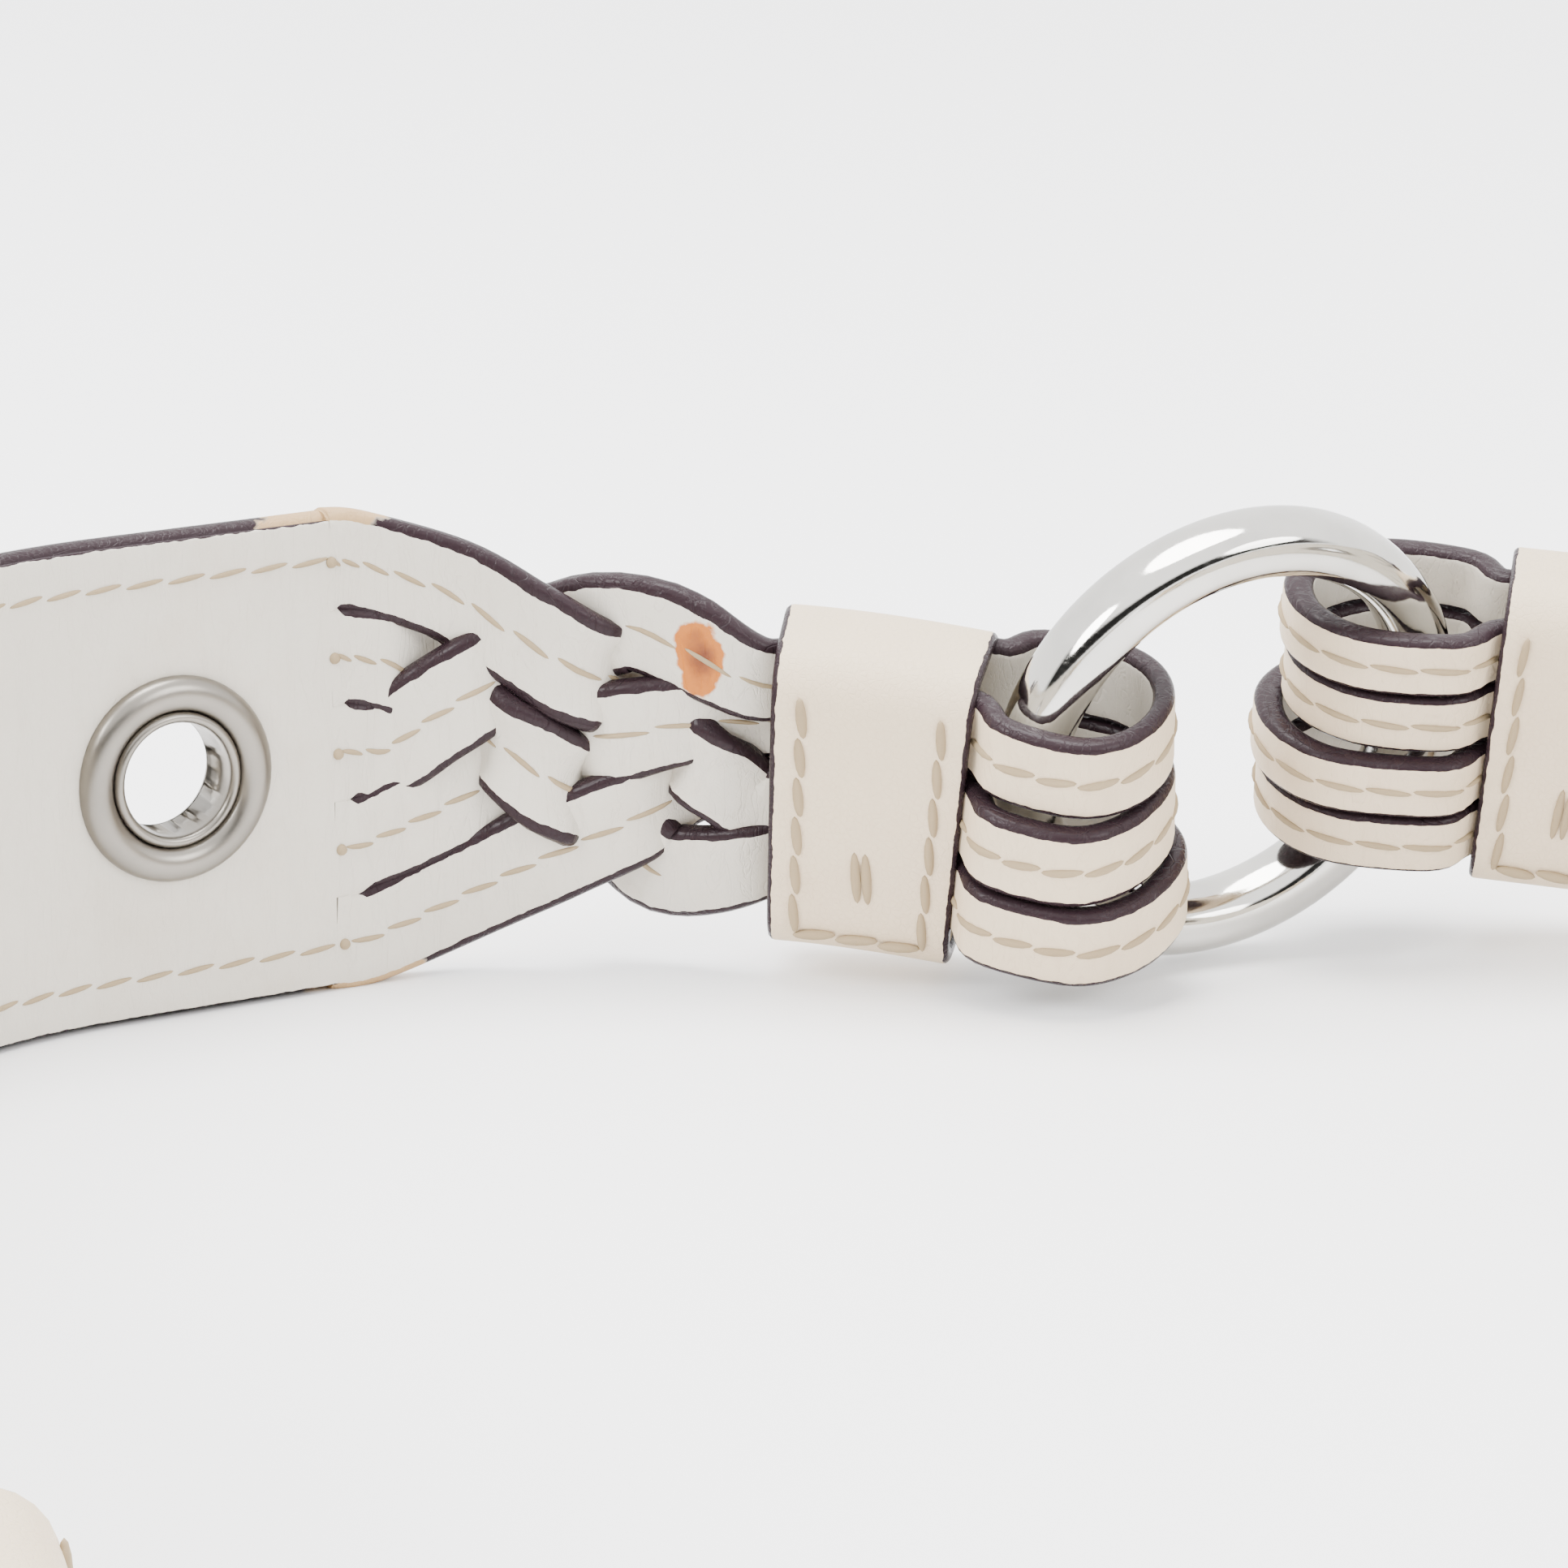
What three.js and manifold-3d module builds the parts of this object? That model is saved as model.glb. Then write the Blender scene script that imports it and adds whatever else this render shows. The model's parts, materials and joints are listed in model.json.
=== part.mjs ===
// Braided leather belt standing on its edge, as an open loop.
// Three leather sections are joined by two metal rings; one end carries a prong buckle,
// the other a billet with eyelets.  Millimetres, +Z up, floor at z = 0.
import * as THREE from 'three';
import * as BufferGeometryUtils from 'three/addons/utils/BufferGeometryUtils.js';
import Module from 'manifold-3d';

const wasm = await Module();
wasm.setup();

// ---------------------------------------------------------------- driving dimensions
const strapWidth = 45.5;
const plyThickness = 1.65; // outer leather and lining are each one ply
const plyGap = 0.3; // glue line kept open between the curved plies
const liningInset = 0.6; // lining stops short of the strap's edges
const pieceGap = 0.3; // clearance between neighbouring leather pieces

const stripCount = 5;
const stripThickness = 3.4;
const layerOffset = stripThickness / 2 + 0.2; // crossing strips lie this far either side
const braidLength = 43;

const keeperWidth = 17.5;
const keeperHeight = 31.2;
const keeperDepth = 16;
const keeperWall = 2.1;
const keeperCorner = 4;
const keeperRoom = 1; // strips stay this far inside the keeper's rounded top and bottom

const loopThickness = 2.2;
const loopRoom = 4.3; // side play of a ring's tube in its loops
const loopSlack = 3.2; // play between the fold's inside and the ring's tube where it bows most
const loopFlare = 4.1; // the legs close from the fold to the keeper over this length

const ringOuter = 47.2;
const ringRadial = 5.8;
const ringAxial = 7;

const eyeletOuter = 19.3;
const eyeletBore = 10.6;
const eyeletBarrel = 12.6; // outside of the barrel, and the hole in the leather less its gap
const eyeletFlange = 1.1;
const eyeletWasher = 1.2;

const billetWidth = 31;
const billetTaper = 34;
const tipWidth = 11;
const tipTaper = 16;
const eyeletPitch = 32;

const buckleRod = 4.6;
const buckleInsideHeight = 33;
const buckleLength = 40; // between the two upright bars' centre lines
const prongWidth = 5;
const prongThickness = 3.4;
const prongSlotBack = 8.5; // the tab's slot reaches this far behind the bar, so the prong can open
const prongSlotFront = 6.5;
const prongSlotPlay = 3;
const buckleTabLength = 30; // flat length of the folded tab
const tabThickness = 1.8;
const tabBarGap = 0.5;
const fixedLoopWidth = 9;
const slidingLoopWidth = 11;
const strapLoopWall = 2;
const strapLoopRoom = 1.8; // play between a strap loop and the strap

// stretches of the bent straps, along the strap
const rootClear = 16.3; // slit root to eyelet centre
const eyeletEdge = rootClear + eyeletOuter / 2; // slit root to the eyelet's far edge
const eyeletFlat = eyeletEdge - 3.95; // a strap stays flat round each of its eyelets
const centreBend = 41.5; // each of the two bends between the centre section's eyelets
const middleFlat = 49; // flat stretch with the centre section's middle eyelet
const centreReturn = 32; // counter-bend that leads into the left-hand braid
const centreFlat = eyeletEdge + 1.05; // flat stretch with the last eyelet
const buckleFlat = eyeletEdge + 2.05; // flat stretch with the buckle section's eyelet
const buckleBend = 44; // gentle bend before the buckle section narrows
const buckleNarrow = 56; // narrow stretch that carries the strap loops and the tab
const billetLead = 8;
const billetBend = 80; // bend that turns the billet along the front
const billetStraight = 130;
const billetTipClear = 25; // billet tip to the first eyelet

// ---------------------------------------------------------------- colours
const lining = { color: 0xe6e2da, roughness: 0.55, metalness: 0 };
const cream = { color: 0xeee0cc, roughness: 0.6, metalness: 0 };
const nickel = { color: 0xc9c7c3, roughness: 0.18, metalness: 1 };
const brushedNickel = { color: 0xa8a39b, roughness: 0.4, metalness: 1 };

const belt = new THREE.Group();

// ---------------------------------------------------------------- routes
function smooth(t) {
  const u = Math.min(1, Math.max(0, t));
  return u * u * (3 - 2 * u);
}

// value of a list of [distance, value] stations, eased between them
function eased(stations, s) {
  let [before, value] = stations[0];
  for (const [here, next] of stations) {
    if (s <= here) return here > before ? value + (next - value) * smooth((s - before) / (here - before)) : next;
    [before, value] = [here, next];
  }
  return value;
}

// The line that a section's lower edge follows: arcs in plan, with its own lean and lift.
// A point is placed by s along the line, n to its left and v up the leaning strap.
class Route {
  constructor({ x, y, heading, bends, lean, lift }) {
    Object.assign(this, { x, y, heading, bends, lean, lift });
    this.length = bends.reduce((sum, [length]) => sum + length, 0);
  }

  plan(s) {
    let { x, y } = this;
    let h = THREE.MathUtils.degToRad(this.heading);
    let left = s;
    for (const [index, [length, turn]] of this.bends.entries()) {
      const isLast = index === this.bends.length - 1;
      const d = left < length || isLast ? left : length;
      const k = THREE.MathUtils.degToRad(turn) / length;
      if (Math.abs(k) < 1e-9) {
        x += d * Math.cos(h);
        y += d * Math.sin(h);
      } else {
        x += (Math.sin(h + k * d) - Math.sin(h)) / k;
        y += (Math.cos(h) - Math.cos(h + k * d)) / k;
        h += k * d;
      }
      if (left < length || isLast) break;
      left -= length;
    }
    return { x, y, h };
  }

  frame(s) {
    const { x, y, h } = this.plan(s);
    const roll = THREE.MathUtils.degToRad(eased(this.lean, s));
    const slope = Math.atan(eased(this.lift, s + 0.5) - eased(this.lift, s - 0.5));
    const side = new THREE.Vector3(-Math.sin(h), Math.cos(h), 0);
    const rise = new THREE.Vector3(
      -Math.sin(slope) * Math.cos(h),
      -Math.sin(slope) * Math.sin(h),
      Math.cos(slope),
    );
    const across = side.clone().multiplyScalar(Math.cos(roll)).addScaledVector(rise, -Math.sin(roll));
    const up = rise.multiplyScalar(Math.cos(roll)).addScaledVector(side, Math.sin(roll));
    return { origin: new THREE.Vector3(x, y, eased(this.lift, s)), across, up };
  }

  point(s, n, v) {
    const { origin, across, up } = this.frame(s);
    return origin.addScaledVector(across, n).addScaledVector(up, v);
  }

  along(s) {
    return this.point(s + 0.5, 0, 0).sub(this.point(s - 0.5, 0, 0)).normalize();
  }

  // height on the strap at which a point reaches a given height above the floor
  heightAt(s, n, z) {
    const low = this.point(s, n, 0).z;
    return (z - low) / (this.point(s, n, 1).z - low);
  }
}

// ---------------------------------------------------------------- solids
function merged(geometry) {
  const bare = geometry.clone();
  bare.deleteAttribute('normal');
  bare.deleteAttribute('uv');
  return BufferGeometryUtils.mergeVertices(bare, 1e-4);
}

function signedVolume(geometry) {
  const { position } = geometry.attributes;
  const corner = [0, 1, 2].map(() => new THREE.Vector3());
  let sum = 0;
  for (let i = 0; i < geometry.index.count; i += 3) {
    corner.forEach((point, j) => point.fromBufferAttribute(position, geometry.index.getX(i + j)));
    sum += corner[0].dot(corner[1].clone().cross(corner[2]));
  }
  return sum;
}

function outward(geometry) {
  const closed = merged(geometry);
  if (signedVolume(closed) < 0) closed.setIndex([...closed.index.array].reverse());
  return closed;
}

function toManifold(geometry) {
  return new wasm.Manifold(
    new wasm.Mesh({
      numProp: 3,
      vertProperties: new Float32Array(geometry.attributes.position.array),
      triVerts: new Uint32Array(geometry.index.array),
    }),
  );
}

function fromManifold(solid) {
  const mesh = solid.getMesh();
  const geometry = new THREE.BufferGeometry();
  geometry.setAttribute('position', new THREE.BufferAttribute(mesh.vertProperties, 3));
  geometry.setIndex(new THREE.BufferAttribute(mesh.triVerts, 1));
  return geometry;
}

function cut(geometry, ...tools) {
  let solid = toManifold(outward(geometry));
  for (const tool of tools) solid = solid.subtract(toManifold(outward(tool)));
  return fromManifold(solid);
}

function join(...pieces) {
  let solid = toManifold(outward(pieces[0]));
  for (const piece of pieces.slice(1)) solid = solid.add(toManifold(outward(piece)));
  return fromManifold(solid);
}

function addMesh(name, geometry, finish) {
  const mesh = new THREE.Mesh(geometry, new THREE.MeshStandardMaterial(finish));
  mesh.geometry.computeVertexNormals();
  mesh.name = name;
  belt.add(mesh);
}

// a box with many steps along its length, each corner moved by place(s, n, v)
function bent({ from, to, step, low, high, edges, place }) {
  const steps = Math.max(1, Math.ceil(Math.abs(to - from) / step));
  const geometry = new THREE.BoxGeometry(1, 1, 1, steps, 1, 1);
  const { position } = geometry.attributes;
  for (let i = 0; i < position.count; i += 1) {
    const s = from + (position.getX(i) + 0.5) * (to - from);
    const [bottom, top] = edges(s);
    const spot = place(s, position.getY(i) < 0 ? low : high, position.getZ(i) < 0 ? bottom : top);
    position.setXYZ(i, spot.x, spot.y, spot.z);
  }
  return outward(geometry);
}

// a flat strip that follows stations of {s, n, v, width, thickness}
function ribbon(stations, place) {
  const last = stations.length - 1;
  const geometry = new THREE.BoxGeometry(1, 1, 1, last, 1, 1);
  const { position } = geometry.attributes;
  for (let i = 0; i < position.count; i += 1) {
    const index = Math.round((position.getX(i) + 0.5) * last);
    const { s, n, v, width, thickness } = stations[index];
    const before = stations[Math.max(0, index - 1)];
    const after = stations[Math.min(last, index + 1)];
    const length = Math.hypot(after.s - before.s, after.n - before.n);
    const offset = (Math.sign(position.getY(i)) * thickness) / 2 / length;
    const rise = (Math.sign(position.getZ(i)) * width) / 2;
    const spot = place(s - offset * (after.n - before.n), n + offset * (after.s - before.s), v + rise);
    position.setXYZ(i, spot.x, spot.y, spot.z);
  }
  return outward(geometry);
}

// rotates a solid made round +Y so that +Y lies along the given direction at a point
function aimed(geometry, point, direction) {
  const turn = new THREE.Quaternion().setFromUnitVectors(new THREE.Vector3(0, 1, 0), direction);
  return geometry.applyMatrix4(new THREE.Matrix4().compose(point, turn, new THREE.Vector3(1, 1, 1)));
}

// ---------------------------------------------------------------- one braided end
// u runs from the tip of the fold (0) to the slit roots, whichever way the section's s runs.
const ringMid = (ringOuter - ringRadial) / 2; // radius of the ring tube's centre line
const loopHalfDepth = loopThickness + (ringRadial + ringAxial) / 4 + loopRoom;
const loopStack = keeperHeight - 2 * (keeperWall + keeperRoom); // height that the loops fill
const ringBow = ringMid - Math.sqrt(ringMid ** 2 - (loopStack / 2) ** 2);
const ringSeat = loopThickness + loopSlack + ringBow + ringRadial / 2; // fold tip to tube centre
const loopReach = ringSeat + ringRadial / 2 + loopFlare; // fold tip to keeper
const keeperStart = loopReach;
const keeperEnd = keeperStart + keeperWidth;
const rootStart = keeperEnd + braidLength;

const legOffset = keeperDepth / 2 - keeperWall - pieceGap - loopThickness / 2;
const foldRadius = loopHalfDepth - loopThickness / 2;
const legEnd = keeperEnd - 7.5; // the folded-back leg ends inside the keeper
const tuckedEnd = keeperEnd - 6; // a strip without a loop ends just inside the keeper
const crossingFrom = 5; // the strips lift apart over this length before they cross
const rootStraight = 1.4; // they leave the strap straight

function stripStations({ root, slot, loop, slotWidth, side }) {
  const rootPitch = strapWidth / stripCount;
  const stations = [];
  const incoming = (u) => {
    const crossed = smooth((rootStart - crossingFrom - u) / (braidLength - crossingFrom));
    const apart = smooth((rootStart - rootStraight - u) / (crossingFrom - rootStraight));
    const gathered = loop ? smooth((keeperEnd - 0.5 - u) / 6.5) : 0;
    const widened = loop ? smooth((tuckedEnd - 0.5 - u) / 7) : 0;
    const slotted = root + (slot - root) * crossed;
    const strip = rootPitch - pieceGap + (slotWidth - rootPitch + pieceGap) * crossed;
    return {
      s: u,
      n: side * layerOffset * apart * (1 - gathered) - legOffset * gathered,
      v: loop ? slotted + (loop.centre - slot) * widened : slotted,
      width: loop ? strip + (loop.width - slotWidth) * widened : strip,
      thickness: stripThickness + (loopThickness - stripThickness) * gathered,
    };
  };
  const root0 = rootStart - pieceGap;
  for (const back of [0, 1, 2, 3, 4.2, 5.6]) stations.push(incoming(root0 - back));
  const open = root0 - 5.6 - keeperEnd;
  for (let i = 1; i <= 7; i += 1) stations.push(incoming(keeperEnd + open * (1 - i / 7)));
  stations.push(incoming(keeperEnd - 2), incoming(keeperEnd - 3.5), incoming(tuckedEnd + 1));
  if (!loop) {
    stations.push(incoming(tuckedEnd));
    return stations;
  }
  for (const back of [7, 9, 11, 13.5]) stations.push(incoming(keeperEnd - back));
  stations.push(incoming(keeperStart + 1));
  const flat = { v: loop.centre, width: loop.width, thickness: loopThickness };
  const flare = [
    [keeperStart - 0.6, legOffset],
    [keeperStart - 1.6, legOffset + 0.8],
    [keeperStart - 3, foldRadius - 1],
    [keeperStart - 5, foldRadius - 0.1],
  ];
  for (const [s, n] of flare) stations.push({ s, n: -n, ...flat });
  const foldCentre = loopHalfDepth;
  for (let i = 0; i <= 8; i += 1) {
    const angle = (i / 8) * Math.PI;
    const s = foldCentre - foldRadius * Math.sin(angle) + loop.stretch;
    stations.push({ s, n: -foldRadius * Math.cos(angle), ...flat });
  }
  for (const [s, n] of flare.reverse()) stations.push({ s, n, ...flat });
  stations.push({ s: keeperStart + 1, n: legOffset, ...flat });
  stations.push({ s: legEnd, n: legOffset, ...flat });
  return stations;
}

function keeperGeometry(base, place) {
  const half = keeperDepth / 2;
  const arcs = [
    [half - keeperCorner, base + keeperHeight - keeperCorner, 0],
    [-half + keeperCorner, base + keeperHeight - keeperCorner, 1],
    [-half + keeperCorner, base + keeperCorner, 2],
    [half - keeperCorner, base + keeperCorner, 3],
  ];
  const section = (shrink) => {
    const outline = [];
    for (const [n, v, quarter] of arcs) {
      for (let i = 0; i <= 3; i += 1) {
        const angle = ((quarter + i / 3) * Math.PI) / 2;
        const radius = keeperCorner - shrink;
        outline.push(new THREE.Vector2(n + radius * Math.cos(angle), v + radius * Math.sin(angle)));
      }
    }
    return outline;
  };
  const shape = new THREE.Shape(section(0));
  shape.holes.push(new THREE.Path(section(keeperWall)));
  const geometry = new THREE.ExtrudeGeometry(shape, { depth: keeperWidth, bevelEnabled: false, steps: 2 });
  const { position } = geometry.attributes;
  for (let i = 0; i < position.count; i += 1) {
    const spot = place(keeperStart + position.getZ(i), position.getX(i), position.getY(i));
    position.setXYZ(i, spot.x, spot.y, spot.z);
  }
  return outward(geometry);
}

// order lists the strips from top to bottom as they enter the keeper;
// looped names the ones that go on round the ring.
function braidedEnd({ name, place, base, looped, stretch }) {
  const order = [3, 4, 5, 1, 2];
  const roomBottom = base + keeperWall + keeperRoom;
  const slotPitch = loopStack / stripCount;
  const loopPitch = loopStack / looped.length;
  for (let strip = 1; strip <= stripCount; strip += 1) {
    const row = order.indexOf(strip);
    const loopRow = looped.indexOf(strip);
    const loop = loopRow < 0 ? null : {
      centre: roomBottom + loopStack - (loopRow + 0.5) * loopPitch,
      width: loopPitch - pieceGap,
      stretch: -loopRow * stretch,
    };
    const stations = stripStations({
      root: strapWidth - ((strip - 0.5) * strapWidth) / stripCount,
      slot: roomBottom + loopStack - (row + 0.5) * slotPitch,
      slotWidth: slotPitch - pieceGap,
      side: strip <= 2 ? 1 : -1,
      loop,
    });
    addMesh(`${name}_strip_${strip}`, ribbon(stations, place), lining);
  }
  addMesh(`${name}_keeper`, keeperGeometry(base, place), cream);
}

// ---------------------------------------------------------------- strap plies and eyelets
const holeRadius = eyeletBarrel / 2 + pieceGap;
const faceOffset = plyGap / 2 + plyThickness; // from the middle of the strap to its face

// side is 1 where the lining lies to the left of the route and -1 where it lies to the right
function strapPlies({ name, route, side, from, to, edges, eyelets }) {
  const step = 5.5;
  const place = (s, n, v) => route.point(s, side * n, v);
  const inset = (s) => {
    const [bottom, top] = edges(s);
    return [bottom + liningInset, top - liningInset];
  };
  const punches = eyelets.map((s) =>
    aimed(
      new THREE.CylinderGeometry(holeRadius, holeRadius, 12, 16),
      route.point(s, 0, strapWidth / 2),
      route.frame(s).across,
    ));
  const outerPly = bent({ from, to, step, low: -faceOffset, high: -plyGap / 2, edges, place });
  const innerPly = bent({ from, to, step, low: plyGap / 2, high: faceOffset, edges: inset, place });
  addMesh(`${name}_outer`, punches.length ? cut(outerPly, ...punches) : outerPly, cream);
  addMesh(`${name}_lining`, punches.length ? cut(innerPly, ...punches) : innerPly, lining);
}

// grommet: barrel with its flange on the outer face; washer: dished ring on the lining face
function eyelet(name, route, side, s) {
  const seat = route.point(s, 0, strapWidth / 2);
  const direction = route.frame(s).across.multiplyScalar(side);
  const bore = eyeletBore / 2;
  const barrel = eyeletBarrel / 2;
  const rim = eyeletOuter / 2;
  const back = -faceOffset - pieceGap;
  const front = faceOffset + pieceGap;
  const grommet = [
    [bore, back - eyeletFlange],
    [rim - 0.8, back - eyeletFlange],
    [rim, back],
    [barrel, back],
    [barrel, front + eyeletWasher * 0.8],
    [bore, front + eyeletWasher * 0.8],
  ];
  const washer = [
    [barrel + pieceGap, front],
    [rim, front],
    [rim - 0.9, front + eyeletWasher],
    [barrel + pieceGap, front + eyeletWasher * 0.6],
  ];
  for (const [part, profile] of [['grommet', grommet], ['washer', washer]]) {
    const loop = [...profile, profile[0]].map(([radius, y]) => new THREE.Vector2(radius, y));
    const geometry = aimed(new THREE.LatheGeometry(loop, 16), seat, direction);
    addMesh(`${name}_${part}`, outward(geometry), brushedNickel);
  }
}

function fullHeight() {
  return [0, strapWidth];
}

// ---------------------------------------------------------------- metal rings
function addRing(name, centre, heading, lean) {
  const section = [];
  for (let i = 0; i <= 10; i += 1) {
    const angle = (i / 10) * 2 * Math.PI;
    const x = Math.sign(Math.cos(angle)) * Math.abs(Math.cos(angle)) ** 0.7;
    const y = Math.sign(Math.sin(angle)) * Math.abs(Math.sin(angle)) ** 0.7;
    section.push(new THREE.Vector2(ringMid + (x * ringRadial) / 2, (y * ringAxial) / 2));
  }
  section[10] = section[0].clone();
  const level = new THREE.Vector3(Math.cos(heading), Math.sin(heading), 0);
  const facing = new THREE.Vector3(Math.sin(heading), -Math.cos(heading), 0);
  const up = new THREE.Vector3(0, 0, Math.cos(lean)).addScaledVector(facing, Math.sin(lean));
  const axis = new THREE.Vector3().crossVectors(level, up);
  const placing = new THREE.Matrix4().makeBasis(level, axis, up.negate()).setPosition(centre);
  addMesh(name, outward(new THREE.LatheGeometry(section, 32).applyMatrix4(placing)), nickel);
}

// height of a ring's centre: in the middle of the strap, but never through the floor
function ringHeight(lean) {
  const standing = (ringOuter / 2) * Math.cos(lean) + (ringAxial / 2) * Math.sin(lean);
  return Math.max(standing + 0.2, strapWidth / 2);
}

// ---------------------------------------------------------------- centre section
const centre = new Route({
  x: 35.4,
  y: -14.4,
  heading: 162,
  bends: [
    [loopReach, 8],
    [keeperWidth, 4],
    [braidLength / 2, 13],
    [braidLength / 2, 24],
    [eyeletFlat, 0],
    [centreBend, 50],
    [middleFlat, 0],
    [centreBend, 50],
    [centreReturn, -28],
    [centreFlat, 0],
    [rootStart, 0],
  ],
  lean: [[0, 17], [keeperEnd, 15], [rootStart, 0]],
  lift: [[-10, 0.9], [keeperEnd + 5, 5.5], [rootStart, 0]],
});
const centreLength = centre.length;
const middleBase = (strapWidth - keeperHeight) / 2;
const sag = 5.85; // the right-hand keeper has sagged this far towards the strap's lower edge

braidedEnd({
  name: 'center_right',
  place: (s, n, v) => centre.point(s, n, v),
  base: middleBase - sag,
  looped: [3, 5, 2],
  stretch: 1.3,
});
braidedEnd({
  name: 'center_left',
  place: (s, n, v) => centre.point(centreLength - s, n, v),
  base: middleBase,
  looped: [3, 4, 5, 2],
  stretch: 0,
});
const centreEyelets = [
  rootStart + rootClear,
  rootStart + eyeletFlat + centreBend + middleFlat / 2,
  centreLength - rootStart - rootClear,
];
strapPlies({
  name: 'center',
  route: centre,
  side: 1,
  from: rootStart,
  to: centreLength - rootStart,
  edges: fullHeight,
  eyelets: centreEyelets,
});
centreEyelets.forEach((s, index) => eyelet(`center_eyelet_${index + 1}`, centre, 1, s));

// ---------------------------------------------------------------- right ring and buckle section
const rightRingHeading = THREE.MathUtils.degToRad(27);
const rightRingLean = THREE.MathUtils.degToRad(18.7);
const rightRingZ = ringHeight(rightRingLean);

// the centre of a ring whose tube passes through a loop at (s, n), and the tube's far side
function ringFrom(route, s, n, z, heading) {
  const level = new THREE.Vector3(Math.cos(heading), Math.sin(heading), 0);
  const tube = route.point(s, n, route.heightAt(s, n, z));
  return {
    tube,
    centre: tube.clone().addScaledVector(level, ringMid),
    far: tube.clone().addScaledVector(level, 2 * ringMid),
  };
}

// moves a route so that its loop holds the ring's far side at (s, n)
function hungOn(route, far, s, n) {
  const held = route.point(s, n, route.heightAt(s, n, far.z));
  route.x += far.x - held.x;
  route.y += far.y - held.y;
  return route;
}

const rightRing = ringFrom(centre, ringSeat + 1.5, 3.6, rightRingZ, rightRingHeading);
addRing('ring_right', rightRing.centre, rightRingHeading, rightRingLean);

const buckleSide = hungOn(new Route({
  x: 0,
  y: 0,
  heading: -8,
  bends: [
    [loopReach, 0],
    [keeperWidth, -6],
    [braidLength, -62],
    [buckleFlat, 0],
    [buckleBend, -14],
    [billetTaper + buckleNarrow, 0],
  ],
  lean: [[0, -17], [keeperEnd, -13], [rootStart, 0]],
  lift: [[-15, 4.4], [keeperEnd + 8, 0], [rootStart, 0]],
}), rightRing.far, ringSeat - 0.3, 0.4);

// lining faces the inside of the belt, which is the route's right-hand side here
braidedEnd({
  name: 'buckle_side',
  place: (s, n, v) => buckleSide.point(s, -n, v),
  base: middleBase,
  looped: [3, 4, 5, 2],
  stretch: 0,
});

// strap edges that narrow from the full width to the billet's
function narrowing(from) {
  return (s) => {
    const half = strapWidth / 2 + ((billetWidth - strapWidth) / 2) * smooth((s - from) / billetTaper);
    return [strapWidth / 2 - half, strapWidth / 2 + half];
  };
}

const buckleTaper = rootStart + buckleFlat + buckleBend;
const buckleStrapEnd = buckleTaper + billetTaper + buckleNarrow;
strapPlies({
  name: 'buckle_side',
  route: buckleSide,
  side: -1,
  from: rootStart,
  to: buckleStrapEnd,
  edges: narrowing(buckleTaper),
  eyelets: [rootStart + rootClear],
});
eyelet('buckle_side_eyelet', buckleSide, -1, rootStart + rootClear);

// ---------------------------------------------------------------- buckle
const barPlace = buckleStrapEnd + 9;
const barRadius = buckleRod / 2;
const middle = strapWidth / 2;
const alongBuckle = buckleSide.along(barPlace);
const outwards = buckleSide.frame(barPlace).across; // towards the strap's grain face

// a point given from the bar: along the strap, towards the grain face, up from the middle
function fromBar(x, y, z) {
  return buckleSide.point(barPlace, y, middle + z).addScaledVector(alongBuckle, x);
}

function rod(radius, start, end) {
  const direction = end.clone().sub(start);
  const cylinder = new THREE.CylinderGeometry(radius, radius, direction.length(), 10);
  return aimed(cylinder, start.clone().add(end).multiplyScalar(0.5), direction.normalize());
}

function knob(radius, point) {
  return new THREE.SphereGeometry(radius * 1.08, 10, 8).translate(point.x, point.y, point.z);
}

function tabGeometry() {
  const leaf = faceOffset + pieceGap + tabThickness / 2;
  const wrap = barRadius + tabBarGap + tabThickness / 2;
  const flat = { v: middle, width: billetWidth - 1, thickness: tabThickness };
  const back = barPlace + 4 - buckleTabLength;
  const stations = [];
  for (const s of [back, back + 9, barPlace - 6, barPlace - 3]) stations.push({ s, n: -leaf, ...flat });
  for (let i = 0; i <= 8; i += 1) {
    const angle = (i / 8) * Math.PI;
    const s = barPlace + wrap * Math.sin(angle);
    stations.push({ s, n: -wrap * Math.cos(angle), ...flat });
  }
  for (const s of [barPlace - 3, barPlace - 6, back + 9, back]) stations.push({ s, n: leaf, ...flat });
  const leather = ribbon(stations, (s, n, v) => buckleSide.point(s, n, v));
  const slotLength = prongSlotBack + prongSlotFront;
  const slot = new THREE.BoxGeometry(slotLength, 4 * leaf, prongWidth + prongSlotPlay);
  const turn = new THREE.Matrix4().makeBasis(alongBuckle, outwards, new THREE.Vector3(0, 0, 1));
  slot.applyMatrix4(turn.setPosition(fromBar(prongSlotFront - slotLength / 2, 0, 0)));
  return cut(leather, slot);
}

function frameGeometry() {
  const half = buckleInsideHeight / 2 + barRadius;
  const corners = [[0, -half], [buckleLength, -half], [buckleLength, half], [0, half]]
    .map(([x, z]) => fromBar(x, 0, z));
  const rods = corners.map((corner, i) => rod(barRadius, corner, corners[(i + 1) % corners.length]));
  return join(...rods, ...corners.map((corner) => knob(barRadius, corner)));
}

function prongGeometry() {
  const inner = barRadius + 0.3;
  const outer = inner + 1.7;
  const half = prongWidth / 2;
  const eye = new THREE.LatheGeometry(
    [[inner, -half], [outer, -half], [outer, half], [inner, half], [inner, -half]]
      .map(([x, y]) => new THREE.Vector2(x, y)),
    16,
  );
  const reach = buckleLength + barRadius + 1.5;
  const shank = new THREE.BoxGeometry(reach, prongThickness, prongWidth);
  const turn = new THREE.Matrix4().makeBasis(alongBuckle, outwards, new THREE.Vector3(0, 0, 1));
  const height = inner + prongThickness / 2;
  shank.applyMatrix4(turn.setPosition(fromBar(reach / 2, height, 0)));
  return join(aimed(eye, fromBar(0, 0, 0), new THREE.Vector3(0, 0, 1)), shank);
}

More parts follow.
